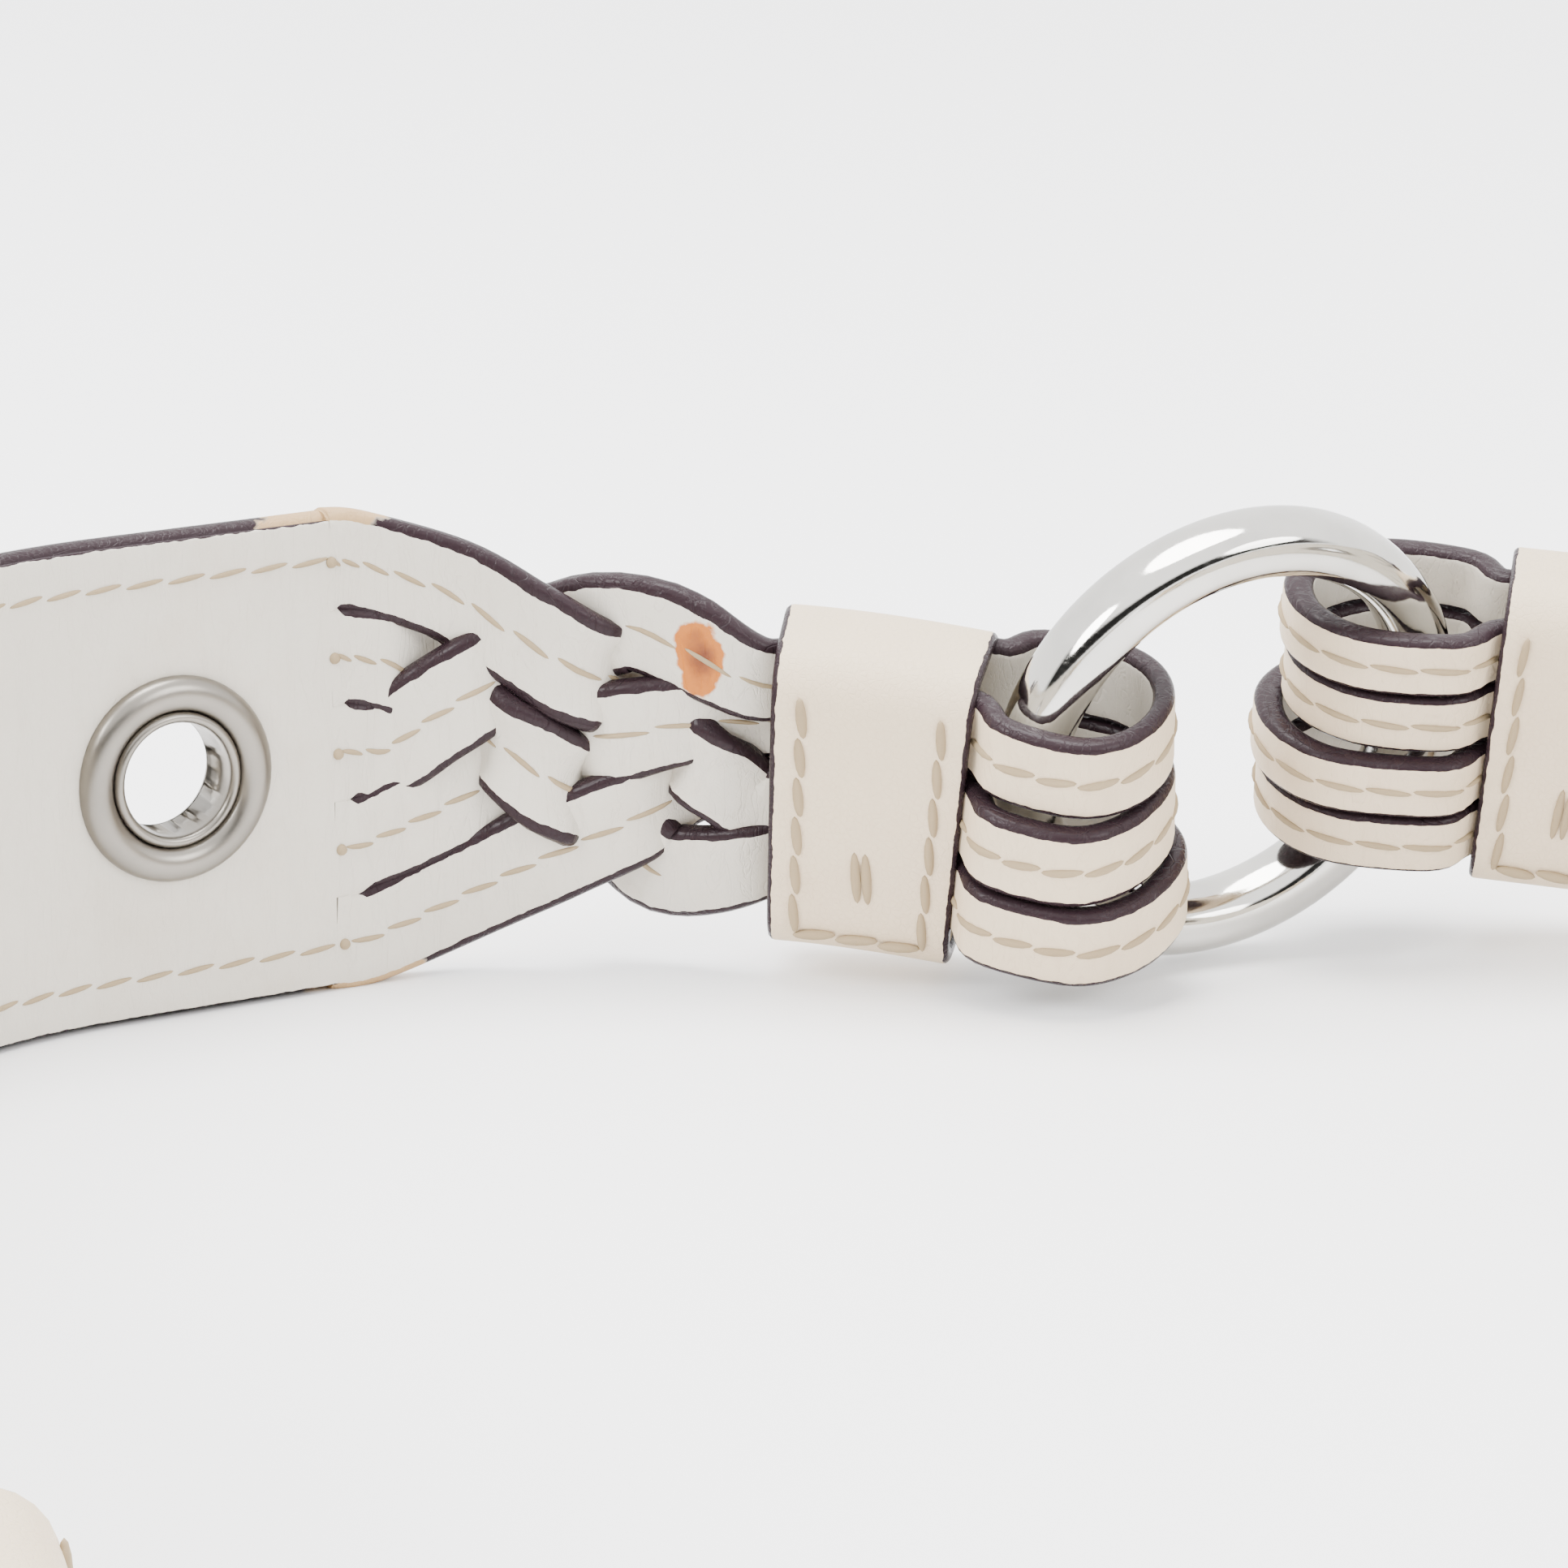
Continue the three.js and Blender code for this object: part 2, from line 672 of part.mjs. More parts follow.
addMesh('buckle_tab', tabGeometry(), cream);
addMesh('buckle_frame', frameGeometry(), nickel);
addMesh('buckle_prong', prongGeometry(), nickel);

// leather loops round the strap, with room on the grain side for the billet
function strapLoop(name, s, width) {
  const near = faceOffset + pieceGap;
  const far = near + strapLoopRoom + 2 * faceOffset;
  const half = billetWidth / 2 + pieceGap;
  const outline = (grow) => [
    new THREE.Vector2(-near - grow, -half - grow),
    new THREE.Vector2(far + grow, -half - grow),
    new THREE.Vector2(far + grow, half + grow),
    new THREE.Vector2(-near - grow, half + grow),
  ];
  const shape = new THREE.Shape(outline(strapLoopWall));
  shape.holes.push(new THREE.Path(outline(0).reverse()));
  const geometry = new THREE.ExtrudeGeometry(shape, { depth: width, bevelEnabled: false });
  const { position } = geometry.attributes;
  for (let i = 0; i < position.count; i += 1) {
    const spot = buckleSide.point(s + position.getZ(i), position.getX(i), middle + position.getY(i));
    position.setXYZ(i, spot.x, spot.y, spot.z);
  }
  addMesh(name, outward(geometry), cream);
}

const fixedLoopPlace = barPlace + 4 - buckleTabLength - fixedLoopWidth - 1;
const slidingLoopPlace = fixedLoopPlace - slidingLoopWidth - 14;
strapLoop('fixed_strap_loop', fixedLoopPlace, fixedLoopWidth);
strapLoop('sliding_strap_loop', slidingLoopPlace, slidingLoopWidth);

// ---------------------------------------------------------------- left ring and billet section
const leftRingHeading = THREE.MathUtils.degToRad(247);
const leftRing = ringFrom(centre, centreLength - ringSeat, 0, ringHeight(0), leftRingHeading);
addRing('ring_left', leftRing.centre, leftRingHeading, 0);

const billetSide = hungOn(new Route({
  x: 0,
  y: 0,
  heading: 280,
  bends: [[rootStart + billetLead, 0], [billetBend, 80], [billetStraight, 0]],
  lean: [[0, 0]],
  lift: [[0, 0]],
}), leftRing.far, ringSeat, 0);
braidedEnd({
  name: 'billet_side',
  place: (s, n, v) => billetSide.point(s, n, v),
  base: middleBase,
  looped: [3, 4, 5, 2],
  stretch: 0,
});

const billetEnd = billetSide.length;
const billetEyelets = [0, 1, 2, 3].map((index) => billetEnd - billetTipClear - index * eyeletPitch);
const narrowed = narrowing(rootStart + billetLead / 2);
strapPlies({
  name: 'billet_side',
  route: billetSide,
  side: 1,
  from: rootStart,
  to: billetEnd,
  edges: (s) => {
    const [bottom, top] = narrowed(s);
    const point = ((billetWidth - tipWidth) / 2) * smooth((s - billetEnd + tipTaper) / tipTaper) ** 1.5;
    return [bottom + point, top - point];
  },
  eyelets: billetEyelets,
});
billetEyelets.forEach((s, index) => eyelet(`billet_eyelet_${index + 1}`, billetSide, 1, s));

// ---------------------------------------------------------------- origin: middle of the base
const bounds = new THREE.Box3().setFromObject(belt);
const base = bounds.getCenter(new THREE.Vector3());
belt.position.set(-base.x, -base.y, -bounds.min.z);

export default belt;
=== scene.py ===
import json
import math

import bmesh
import bpy
from mathutils import Matrix, Vector


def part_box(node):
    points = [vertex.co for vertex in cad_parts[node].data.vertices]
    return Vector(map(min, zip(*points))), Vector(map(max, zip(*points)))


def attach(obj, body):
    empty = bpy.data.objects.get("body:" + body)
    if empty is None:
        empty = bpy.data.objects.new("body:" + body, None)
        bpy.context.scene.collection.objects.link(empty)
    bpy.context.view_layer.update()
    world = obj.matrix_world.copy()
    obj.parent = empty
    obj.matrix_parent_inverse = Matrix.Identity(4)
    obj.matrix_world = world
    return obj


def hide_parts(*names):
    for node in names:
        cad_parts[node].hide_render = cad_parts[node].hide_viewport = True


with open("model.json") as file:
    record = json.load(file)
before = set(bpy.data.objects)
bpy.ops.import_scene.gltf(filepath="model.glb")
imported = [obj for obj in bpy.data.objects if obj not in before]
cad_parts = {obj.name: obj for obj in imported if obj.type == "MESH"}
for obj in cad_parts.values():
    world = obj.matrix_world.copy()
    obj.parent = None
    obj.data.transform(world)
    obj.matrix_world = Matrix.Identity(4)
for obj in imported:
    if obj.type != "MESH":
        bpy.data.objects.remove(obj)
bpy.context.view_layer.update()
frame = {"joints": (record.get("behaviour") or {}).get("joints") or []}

joints = {joint["name"]: joint for joint in frame["joints"]}
mm = 0.001


# ---------------------------------------------------------------- camera
# A long lens looks down a little on the ring that joins the two braided ends, with the strap's
# inside towards it.  The camera is placed from that ring.
ring_low, ring_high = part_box("ring_right")
ring_middle = (ring_low + ring_high) / 2
camera = bpy.data.objects.new("camera", bpy.data.cameras.new("camera"))
bpy.context.scene.collection.objects.link(camera)
camera.location = ring_middle + Vector((-40.9, -587.3, 152.5)) * mm
camera.rotation_euler = (math.radians(75), 0, 0)
camera.data.sensor_width = 24
camera.data.lens = 99.9
camera.data.clip_start = 0.02
bpy.context.scene.camera = camera


# ---------------------------------------------------------------- light
# Studio light: a wide overhead panel, a softer one from each side and white surroundings.  The
# panels are round and aimed at the ring in the middle of the view.
def panel(name, place, target, size, power):
    light = bpy.data.lights.new(name, "AREA")
    light.shape = "DISK"
    light.size = size
    light.energy = power
    lamp = bpy.data.objects.new(name, light)
    lamp.location = place
    lamp.rotation_euler = (Vector(target) - Vector(place)).to_track_quat("-Z", "Y").to_euler()
    bpy.context.scene.collection.objects.link(lamp)


panel("overhead", (-0.1, 0.3, 1.3), ring_middle, 0.9, 34)
panel("left_front", (-1.0, -0.6, 0.9), ring_middle, 0.7, 24)
panel("right_front", (1.2, -0.7, 0.8), ring_middle, 0.8, 16)


def node(tree, kind, settings=None, **inputs):
    made = tree.nodes.new(kind)
    for key, value in (settings or {}).items():
        setattr(made, key, value)
    for key, value in inputs.items():
        socket = made.inputs[int(key[1:])] if key[1:].isdigit() else made.inputs[key.replace("_", " ")]
        if isinstance(value, bpy.types.NodeSocket):
            tree.links.new(value, socket)
        else:
            socket.default_value = value
    return made


def maths(tree, operation, first, second=0.5, third=0.0):
    made = node(tree, "ShaderNodeMath", {"operation": operation}, i0=first, i1=second, i2=third)
    return made.outputs[0]


def ramp(tree, value, low, high):
    made = node(tree, "ShaderNodeMapRange", {"clamp": True}, Value=value, From_Min=low, From_Max=high)
    return made.outputs["Result"]


def studio_world(white, dark):
    """White all round, but for a dark strip of room behind the camera."""
    world = bpy.data.worlds.new("studio")
    world.use_nodes = True
    tree = world.node_tree
    ahead = node(tree, "ShaderNodeTexCoord").outputs["Generated"]
    split = node(tree, "ShaderNodeSeparateXYZ", i0=ahead)
    mask = 1.0
    for axis, low, high in (("Z", 0.06, 0.12), ("Z", 0.52, 0.40), ("Y", -0.25, -0.40)):
        mask = maths(tree, "MULTIPLY", ramp(tree, split.outputs[axis], low, high), mask)
    level = node(tree, "ShaderNodeMapRange", Value=mask, To_Min=white, To_Max=dark)
    background = tree.nodes["Background"]
    tree.links.new(level.outputs["Result"], background.inputs["Strength"])
    background.inputs["Color"].default_value = (1.0, 1.0, 1.0, 1.0)
    return world


bpy.context.scene.world = studio_world(3.0, 0.04)


# ---------------------------------------------------------------- floor
# The plain white table that the belt stands on.  It is matt, and large enough to fill the view
# from any side.
def simple_material(name, colour, roughness, metallic=0.0):
    material = bpy.data.materials.new(name)
    material.use_nodes = True
    surface = material.node_tree.nodes["Principled BSDF"]
    surface.inputs["Base Color"].default_value = (*colour, 1.0)
    surface.inputs["Roughness"].default_value = roughness
    surface.inputs["Metallic"].default_value = metallic
    return material


table_half = 6
floor_mesh = bmesh.new()
bmesh.ops.create_grid(floor_mesh, x_segments=1, y_segments=1, size=table_half)
floor_data = bpy.data.meshes.new("floor")
floor_mesh.to_mesh(floor_data)
floor_mesh.free()
floor = bpy.data.objects.new("floor", floor_data)
floor_data.materials.append(simple_material("white_table", (0.93, 0.93, 0.94), 0.6))
bpy.context.scene.collection.objects.link(floor)


# ---------------------------------------------------------------- leather finish
# Two leathers: a smooth off-white lining and a warm cream grain leather.  Both have their cut
# edges painted dark brown, thick and glossy, with hair cracks and a few chips down to the tan.
def blend_colour(tree, factor, first, second):
    made = node(tree, "ShaderNodeMix", {"data_type": "RGBA"}, i0=factor, i6=first, i7=second)
    return made.outputs[2]


def group(name, inputs, outputs):
    tree = bpy.data.node_groups.new(name, "ShaderNodeTree")
    for label, kind in inputs:
        tree.interface.new_socket(name=label, in_out="INPUT", socket_type=kind)
    for label, kind in outputs:
        tree.interface.new_socket(name=label, in_out="OUTPUT", socket_type=kind)
    return tree, tree.nodes.new("NodeGroupInput"), tree.nodes.new("NodeGroupOutput")


def leather_grain_group():
    tree, given, out = group(
        "leather grain",
        [("Vector", "NodeSocketVector"), ("Grain", "NodeSocketFloat"), ("Creases", "NodeSocketFloat")],
        [("Height", "NodeSocketFloat"), ("Shade", "NodeSocketFloat")],
    )
    where = given.outputs["Vector"]
    pores = node(tree, "ShaderNodeTexVoronoi", {"feature": "DISTANCE_TO_EDGE"}, Vector=where,
                 Scale=1500.0)
    fine = node(tree, "ShaderNodeTexNoise", Vector=where, Scale=900.0, Detail=5.0, Roughness=0.6)
    soft = node(tree, "ShaderNodeTexNoise", Vector=where, Scale=110.0, Detail=3.0)
    stretch = node(tree, "ShaderNodeMapping", Vector=where, Scale=(1.0, 1.0, 0.16))
    folds = node(tree, "ShaderNodeTexNoise", Vector=stretch.outputs[0], Scale=520.0, Detail=4.0,
                 Distortion=1.2)
    crease = maths(tree, "ABSOLUTE", maths(tree, "SUBTRACT", folds.outputs["Fac"], 0.5))
    line = ramp(tree, crease, 0.0, 0.035)
    grain = ramp(tree, pores.outputs["Distance"], 0.0, 0.12)
    grain = maths(tree, "MULTIPLY", grain, given.outputs["Grain"])
    height = maths(tree, "MULTIPLY_ADD", fine.outputs["Fac"], 0.5, grain)
    height = maths(tree, "MULTIPLY_ADD", soft.outputs["Fac"], 2.2, height)
    height = maths(tree, "MULTIPLY_ADD", line, given.outputs["Creases"], height)
    tree.links.new(height, out.inputs["Height"])
    tree.links.new(soft.outputs["Fac"], out.inputs["Shade"])
    return tree


def painted_edge_group():
    tree, given, out = group(
        "painted edge",
        [("Vector", "NodeSocketVector"), ("Rim", "NodeSocketFloat"), ("Width", "NodeSocketFloat"),
         ("Wear", "NodeSocketFloat")],
        [("Paint", "NodeSocketFloat"), ("Bare", "NodeSocketFloat"), ("Height", "NodeSocketFloat")],
    )
    where = given.outputs["Vector"]
    ragged = node(tree, "ShaderNodeTexNoise", Vector=where, Scale=700.0, Detail=4.0)
    chips = node(tree, "ShaderNodeTexNoise", Vector=where, Scale=85.0, Detail=5.0, Roughness=0.75)
    cracks = node(tree, "ShaderNodeTexVoronoi", {"feature": "DISTANCE_TO_EDGE"}, Vector=where,
                  Scale=230.0)
    limit = maths(tree, "MULTIPLY_ADD", ragged.outputs["Fac"], 0.5 * mm, given.outputs["Width"])
    limit = maths(tree, "SUBTRACT", limit, 0.25 * mm)
    painted = maths(tree, "LESS_THAN", given.outputs["Rim"], limit)
    wear = maths(tree, "ADD", chips.outputs["Fac"], given.outputs["Wear"])
    worn = maths(tree, "GREATER_THAN", wear, 0.74)
    bare = maths(tree, "MULTIPLY", painted, worn)
    paint = maths(tree, "SUBTRACT", painted, bare)
    split = maths(tree, "SUBTRACT", 1.0, ramp(tree, cracks.outputs["Distance"], 0.0, 0.012))
    height = maths(tree, "MULTIPLY_ADD", split, -2.0, paint)
    tree.links.new(paint, out.inputs["Paint"])
    tree.links.new(bare, out.inputs["Bare"])
    tree.links.new(maths(tree, "MULTIPLY", height, paint), out.inputs["Height"])
    return tree


def spot_group():
    """An uneven patch: Place is its middle and Reach holds one over its half sizes."""
    tree, given, out = group(
        "spot",
        [("Vector", "NodeSocketVector"), ("Place", "NodeSocketVector"), ("Reach", "NodeSocketVector")],
        [("Mask", "NodeSocketFloat"), ("Core", "NodeSocketFloat")],
    )
    where = given.outputs["Vector"]
    offset = node(tree, "ShaderNodeVectorMath", {"operation": "SUBTRACT"}, i0=where,
                  i1=given.outputs["Place"])
    spread = node(tree, "ShaderNodeVectorMath", {"operation": "MULTIPLY"}, i0=offset.outputs[0],
                  i1=given.outputs["Reach"])
    reach = node(tree, "ShaderNodeVectorMath", {"operation": "LENGTH"}, i0=spread.outputs[0])
    ragged = node(tree, "ShaderNodeTexNoise", Vector=where, Scale=420.0, Detail=4.0)
    rough = maths(tree, "MULTIPLY_ADD", ragged.outputs["Fac"], 0.9, reach.outputs["Value"])
    tree.links.new(maths(tree, "SUBTRACT", 1.0, ramp(tree, rough, 1.4, 1.5)), out.inputs["Mask"])
    tree.links.new(maths(tree, "SUBTRACT", 1.0, ramp(tree, rough, 0.7, 1.2)), out.inputs["Core"])
    return tree


leather_grain = leather_grain_group()
painted_edge = painted_edge_group()
spot = spot_group()
lining_colour = (0.60, 0.56, 0.49, 1.0)
cream_colour = (0.66, 0.53, 0.375, 1.0)
paint_colour = (0.022, 0.013, 0.016, 1.0)
tan_colour = (0.42, 0.27, 0.13, 1.0)
soil_colour = (0.42, 0.30, 0.18, 1.0)
shade_colour = (0.45, 0.38, 0.29, 1.0)
stain_colour = (0.46, 0.13, 0.004, 1.0)
stain_core_colour = (0.12, 0.02, 0.002, 1.0)


def spotted(tree, where, place, size):
    return node(tree, "ShaderNodeGroup", {"node_tree": spot}, Vector=where, Place=tuple(place),
                Reach=[1 / s for s in size])


def new_material(name):
    material = bpy.data.materials.new(name)
    material.use_nodes = True
    tree = material.node_tree
    where = node(tree, "ShaderNodeTexCoord").outputs["Object"]
    return material, tree, tree.nodes["Principled BSDF"], where


def leather(name, face, back, grain, creases, edge, wear, stains=(), bare=()):
    """face shows where the side attribute is above 0 and back shows where it is below.  stains and
    bare are places, with half sizes, of brown stains and of edge paint worn down to the tan."""
    material, tree, surface, where = new_material(name)
    rim = node(tree, "ShaderNodeAttribute", {"attribute_name": "rim"}).outputs["Fac"]
    side = node(tree, "ShaderNodeAttribute", {"attribute_name": "side"}).outputs["Fac"]
    skin = node(tree, "ShaderNodeGroup", {"node_tree": leather_grain}, Vector=where, Grain=grain,
                Creases=creases)
    trim = node(tree, "ShaderNodeGroup", {"node_tree": painted_edge}, Vector=where, Rim=rim, Width=edge,
                Wear=wear)
    colour = blend_colour(tree, maths(tree, "GREATER_THAN", side, 0.0), back, face)
    dirt = node(tree, "ShaderNodeTexNoise", Vector=where, Scale=38.0, Detail=6.0, Roughness=0.65)
    dirty = maths(tree, "MULTIPLY", ramp(tree, dirt.outputs["Fac"], 0.5, 0.8), 0.30)
    soiled = blend_colour(tree, dirty, colour, soil_colour)
    shaded = maths(tree, "MULTIPLY", ramp(tree, skin.outputs["Shade"], 0.35, 0.75), 0.08)
    colour = blend_colour(tree, shaded, soiled, shade_colour)
    for place, size in stains:
        mark = spotted(tree, where, place, size)
        tint = blend_colour(tree, mark.outputs["Core"], stain_colour, stain_core_colour)
        colour = blend_colour(tree, mark.outputs["Mask"], colour, tint)
    paint, worn = trim.outputs["Paint"], trim.outputs["Bare"]
    for place, size in bare:
        lost = maths(tree, "MULTIPLY", paint, spotted(tree, where, place, size).outputs["Mask"])
        paint = maths(tree, "SUBTRACT", paint, lost)
        worn = maths(tree, "ADD", worn, lost)
    colour = blend_colour(tree, worn, colour, tan_colour)
    colour = blend_colour(tree, paint, colour, paint_colour)
    tree.links.new(colour, surface.inputs["Base Color"])
    tree.links.new(maths(tree, "MULTIPLY_ADD", paint, -0.27, 0.52), surface.inputs["Roughness"])
    height = maths(tree, "MULTIPLY_ADD", trim.outputs["Height"], 2.0, skin.outputs["Height"])
    bump = node(tree, "ShaderNodeBump", Height=height, Strength=0.35, Distance=0.12 * mm)
    tree.links.new(bump.outputs[0], surface.inputs["Normal"])
    tree.links.new(maths(tree, "MULTIPLY_ADD", paint, -0.28, 0.4), surface.inputs["Specular IOR Level"])
    return material


# ---------------------------------------------------------------- centre strap
# The middle section of the belt: grain leather outside, lining inside, glued and sewn with one
# row of stitches along each edge.  It is cut flat, punched and then bent to the line it stands on.
class Route:
    """A section's lower edge: straight and curved stretches, with the strap's lean and lift.
    A point is s along it, n to its left and v up the leaning strap."""

    def __init__(self, heading, bends, lean=((0, 0),), lift=((0, 0),)):
        self.shift = Vector((0, 0, 0))
        self.heading = math.radians(heading)
        self.bends = [(length * mm, math.radians(turn)) for length, turn in bends]
        self.lean = [(s * mm, math.radians(angle)) for s, angle in lean]
        self.lift = [(s * mm, height * mm) for s, height in lift]
        self.length = sum(length for length, turn in self.bends)
        self.frames = {}

    def plan(self, s):
        x, y, heading, left = 0.0, 0.0, self.heading, s
        for index, (length, turn) in enumerate(self.bends):
            last = left < length or index == len(self.bends) - 1
            step = left if last else length
            bend = turn / length
            if abs(bend) < 1e-6:
                x += step * math.cos(heading)
                y += step * math.sin(heading)
            else:
                x += (math.sin(heading + bend * step) - math.sin(heading)) / bend
                y += (math.cos(heading) - math.cos(heading + bend * step)) / bend
                heading += bend * step
            if last:
                break
            left -= length
        return x, y, heading

    def frame(self, s):
        key = round(s, 6)
        if key not in self.frames:
            x, y, heading = self.plan(s)
            roll = eased(self.lean, s)
            slope = math.atan((eased(self.lift, s + 0.5 * mm) - eased(self.lift, s - 0.5 * mm)) / mm)
            side = Vector((-math.sin(heading), math.cos(heading), 0))
            rise = Vector((-math.sin(slope) * math.cos(heading), -math.sin(slope) * math.sin(heading),
                           math.cos(slope)))
            across = side * math.cos(roll) - rise * math.sin(roll)
            up = rise * math.cos(roll) + side * math.sin(roll)
            self.frames[key] = (Vector((x, y, eased(self.lift, s))), across, up)
        return self.frames[key]

    def point(self, s, n, v):
        origin, across, up = self.frame(s)
        return self.shift + origin + across * n + up * v

    def hang(self, s, n, hold):
        """Moves the line so that its loop at (s, n) holds the point hold."""
        low, unit = self.point(s, n, 0), self.point(s, n, mm)
        v = (hold[2] - low.z) / (unit.z - low.z) * mm
        held = self.point(s, n, v)
        self.shift = Vector((hold[0] - held.x, hold[1] - held.y, 0))


def smooth(t):
    t = min(1.0, max(0.0, t))
    return t * t * (3 - 2 * t)


def eased(stations, s):
    before, value = stations[0]
    for here, after in stations:
        if s <= here:
            if here <= before:
                return after
            return value + (after - value) * smooth((s - before) / (here - before))
        before, value = here, after
    return value


full_width = 45.5
strap_width = full_width * mm
half_strap = 1.8 * mm
loop_reach = 19.5
keeper_width = 17.5
braid_length = 43
root = loop_reach + keeper_width + braid_length
root_clear = 16.3
eyelet_flat = 22
centre_bend = 41.5
middle_flat = 49
centre_return = 32
centre_flat = 27
centre = Route(
    162,
    [(loop_reach, 8), (keeper_width, 4), (braid_length / 2, 13), (braid_length / 2, 24),
     (eyelet_flat, 0), (centre_bend, 50), (middle_flat, 0), (centre_bend, 50), (centre_return, -28),
     (centre_flat, 0), (root, 0)],
    lean=[(0, 17), (37, 15), (root, 0)],
    lift=[(-10, 0.9), (42, 5.5), (root, 0)],
)
centre.hang(14 * mm, 3.6 * mm, joints["ring_right_swing"]["pos_m"])


def blank(x, y, z, corner, columns, rows=1):
    """A flat piece, x along it, y through it and z across it, with its long edges rounded."""
    bm = bmesh.new()
    bmesh.ops.create_cube(bm, size=1)
    sides = (x, y, z)
    for vert in bm.verts:
        vert.co = Vector([side[0] if c < 0 else side[1] for c, side in zip(vert.co, sides)])
    runs = [edge for edge in bm.edges if edge_span(edge, 0) > 0]
    bmesh.ops.bevel(bm, geom=runs, offset=corner, segments=4, affect="EDGES", profile=0.5, material=-1)
    if rows > 1:
        crosswise = [edge for edge in bm.edges if edge_span(edge, 2) > (z[1] - z[0]) / 2]
        bmesh.ops.subdivide_edges(bm, edges=crosswise, cuts=rows - 1, use_grid_fill=True)
    runs = [edge for edge in bm.edges if edge_span(edge, 0) > 0]
    bmesh.ops.subdivide_edges(bm, edges=runs, cuts=columns - 1, use_grid_fill=True)
    rim = bm.verts.layers.float.new("rim")
    side = bm.verts.layers.float.new("side")
    for vert in bm.verts:
        vert[rim] = min(vert.co.z - z[0], z[1] - vert.co.z)
        vert[side] = (2 * vert.co.y - y[0] - y[1]) / (y[1] - y[0])
    for edge in bm.edges:
        if len(edge.link_faces) == 2:
            edge.smooth = edge.calc_face_angle(0) < math.radians(60)
    return bm


def edge_span(edge, axis):
    return abs(edge.verts[0].co[axis] - edge.verts[1].co[axis])


def bend(bm, place):
    for vert in bm.verts:
        vert.co = place(*vert.co)


def make_piece(bm, name, material, body, replaced=()):
    bmesh.ops.recalc_face_normals(bm, faces=bm.faces[:])
    for face in bm.faces:
        face.smooth = True
    data = bpy.data.meshes.new(name)
    bm.to_mesh(data)
    bm.free()
    data.materials.append(material)
    piece = bpy.data.objects.new(name, data)
    bpy.context.scene.collection.objects.link(piece)
    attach(piece, body)
    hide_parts(*replaced)
    return piece


def punch(bm, holes, radius):
    """Opens a round hole in both faces of a flat blank and closes its wall."""
    for x, z in holes:
        inside = [face for face in bm.faces
                  if abs(face.normal.y) > 0.9 and math.hypot(face.calc_center_median().x - x,
                                                             face.calc_center_median().z - z) < radius]
        bmesh.ops.delete(bm, geom=inside, context="FACES")
        loose = [edge for edge in bm.edges if len(edge.link_faces) == 1]
        for vert in {vert for edge in loose for vert in edge.verts}:
            spoke = Vector((vert.co.x - x, 0, vert.co.z - z)).normalized() * radius
            vert.co.x, vert.co.z = x + spoke.x, z + spoke.z
        bmesh.ops.bridge_loops(bm, edges=loose)


def strap_edges_full(x):
    return 0.0, strap_width


hole_radius = 7.6 * mm
outer_edge = 1.45 * mm
lining_inset = 0.6 * mm
lining_edge = 0.25 * mm
lining_leather = leather("lining_leather", lining_colour, lining_colour, 0.25, 0.9, 0.12 * mm, -0.1)
# where the paint has worn off beside the right-hand braid
bare_edges = [
    (centre.point((root - 3.5) * mm, 0, strap_width), (6 * mm, 9 * mm, 3 * mm)),
    (centre.point((root - 4) * mm, 0, 0), (6.5 * mm, 9 * mm, 2.5 * mm)),
]
strap_leather = leather("strap_leather", cream_colour, cream_colour, 0.6, 0.5, 1.05 * mm, 0.02,
                        bare=bare_edges)
lining_seam = 1.2 * mm
strap_step = 1.3 * mm
strap_rows = 32


def strap(name, route, side, start, end, edges, holes, body):
    """The grain leather with its painted edges, and the thinner lining laid on its inner face."""
    def place(x, y, z):
        low, high = edges(x)
        v = low + (high - low) * z / strap_width
        return route.point(x, side * y, v)

    columns = round((end - start) / strap_step)
    outer = blank((start, end), (-half_strap, lining_seam), (0, strap_width), outer_edge,
                  columns, strap_rows)
    sheet = blank((start, end), (lining_seam, half_strap), (lining_inset, strap_width - lining_inset),
                  lining_edge, columns, strap_rows)
    for bm in (outer, sheet):
        punch(bm, [(hole, strap_width / 2) for hole in holes], hole_radius)
        bend(bm, place)
    make_piece(outer, name + "_grain_leather", strap_leather, body, [name + "_outer"])
    make_piece(sheet, name + "_lining_leather", lining_leather, body,
               [name + "_lining"])
    return place


centre_length = centre.length
centre_start, centre_end = root * mm, centre_length - root * mm
centre_holes = [
    (root + root_clear) * mm,
    (root + eyelet_flat + centre_bend + middle_flat / 2) * mm,
    centre_length - (root + root_clear) * mm,
]
place_centre = strap("center", centre, 1, centre_start, centre_end, strap_edges_full, centre_holes,
                     "center")


# ---------------------------------------------------------------- stitching
# Pale thread in a long lockstitch: a row along each edge of the straps and one down the
# middle of every strip.  Each stitch is a short plump capsule half sunk in the leather.
def thread_material():
    material, tree, surface, where = new_material("thread")
    fuzz = node(tree, "ShaderNodeTexNoise", Vector=where, Scale=2600.0, Detail=3.0)
    soil = node(tree, "ShaderNodeTexNoise", Vector=where, Scale=60.0, Detail=3.0)
    colour = blend_colour(tree, soil.outputs["Fac"], thread_colour, soiled_thread_colour)
    tree.links.new(colour, surface.inputs["Base Color"])
    bump = node(tree, "ShaderNodeBump", Height=fuzz.outputs["Fac"], Strength=0.6, Distance=0.1 * mm)
    tree.links.new(bump.outputs[0], surface.inputs["Normal"])
    surface.inputs["Roughness"].default_value = 0.8
    return material


thread_colour = (0.36, 0.28, 0.17, 1.0)
soiled_thread_colour = (0.27, 0.195, 0.105, 1.0)
thread = thread_material()
stitch_pitch = 4.2 * mm
stitch_slant = math.radians(7)


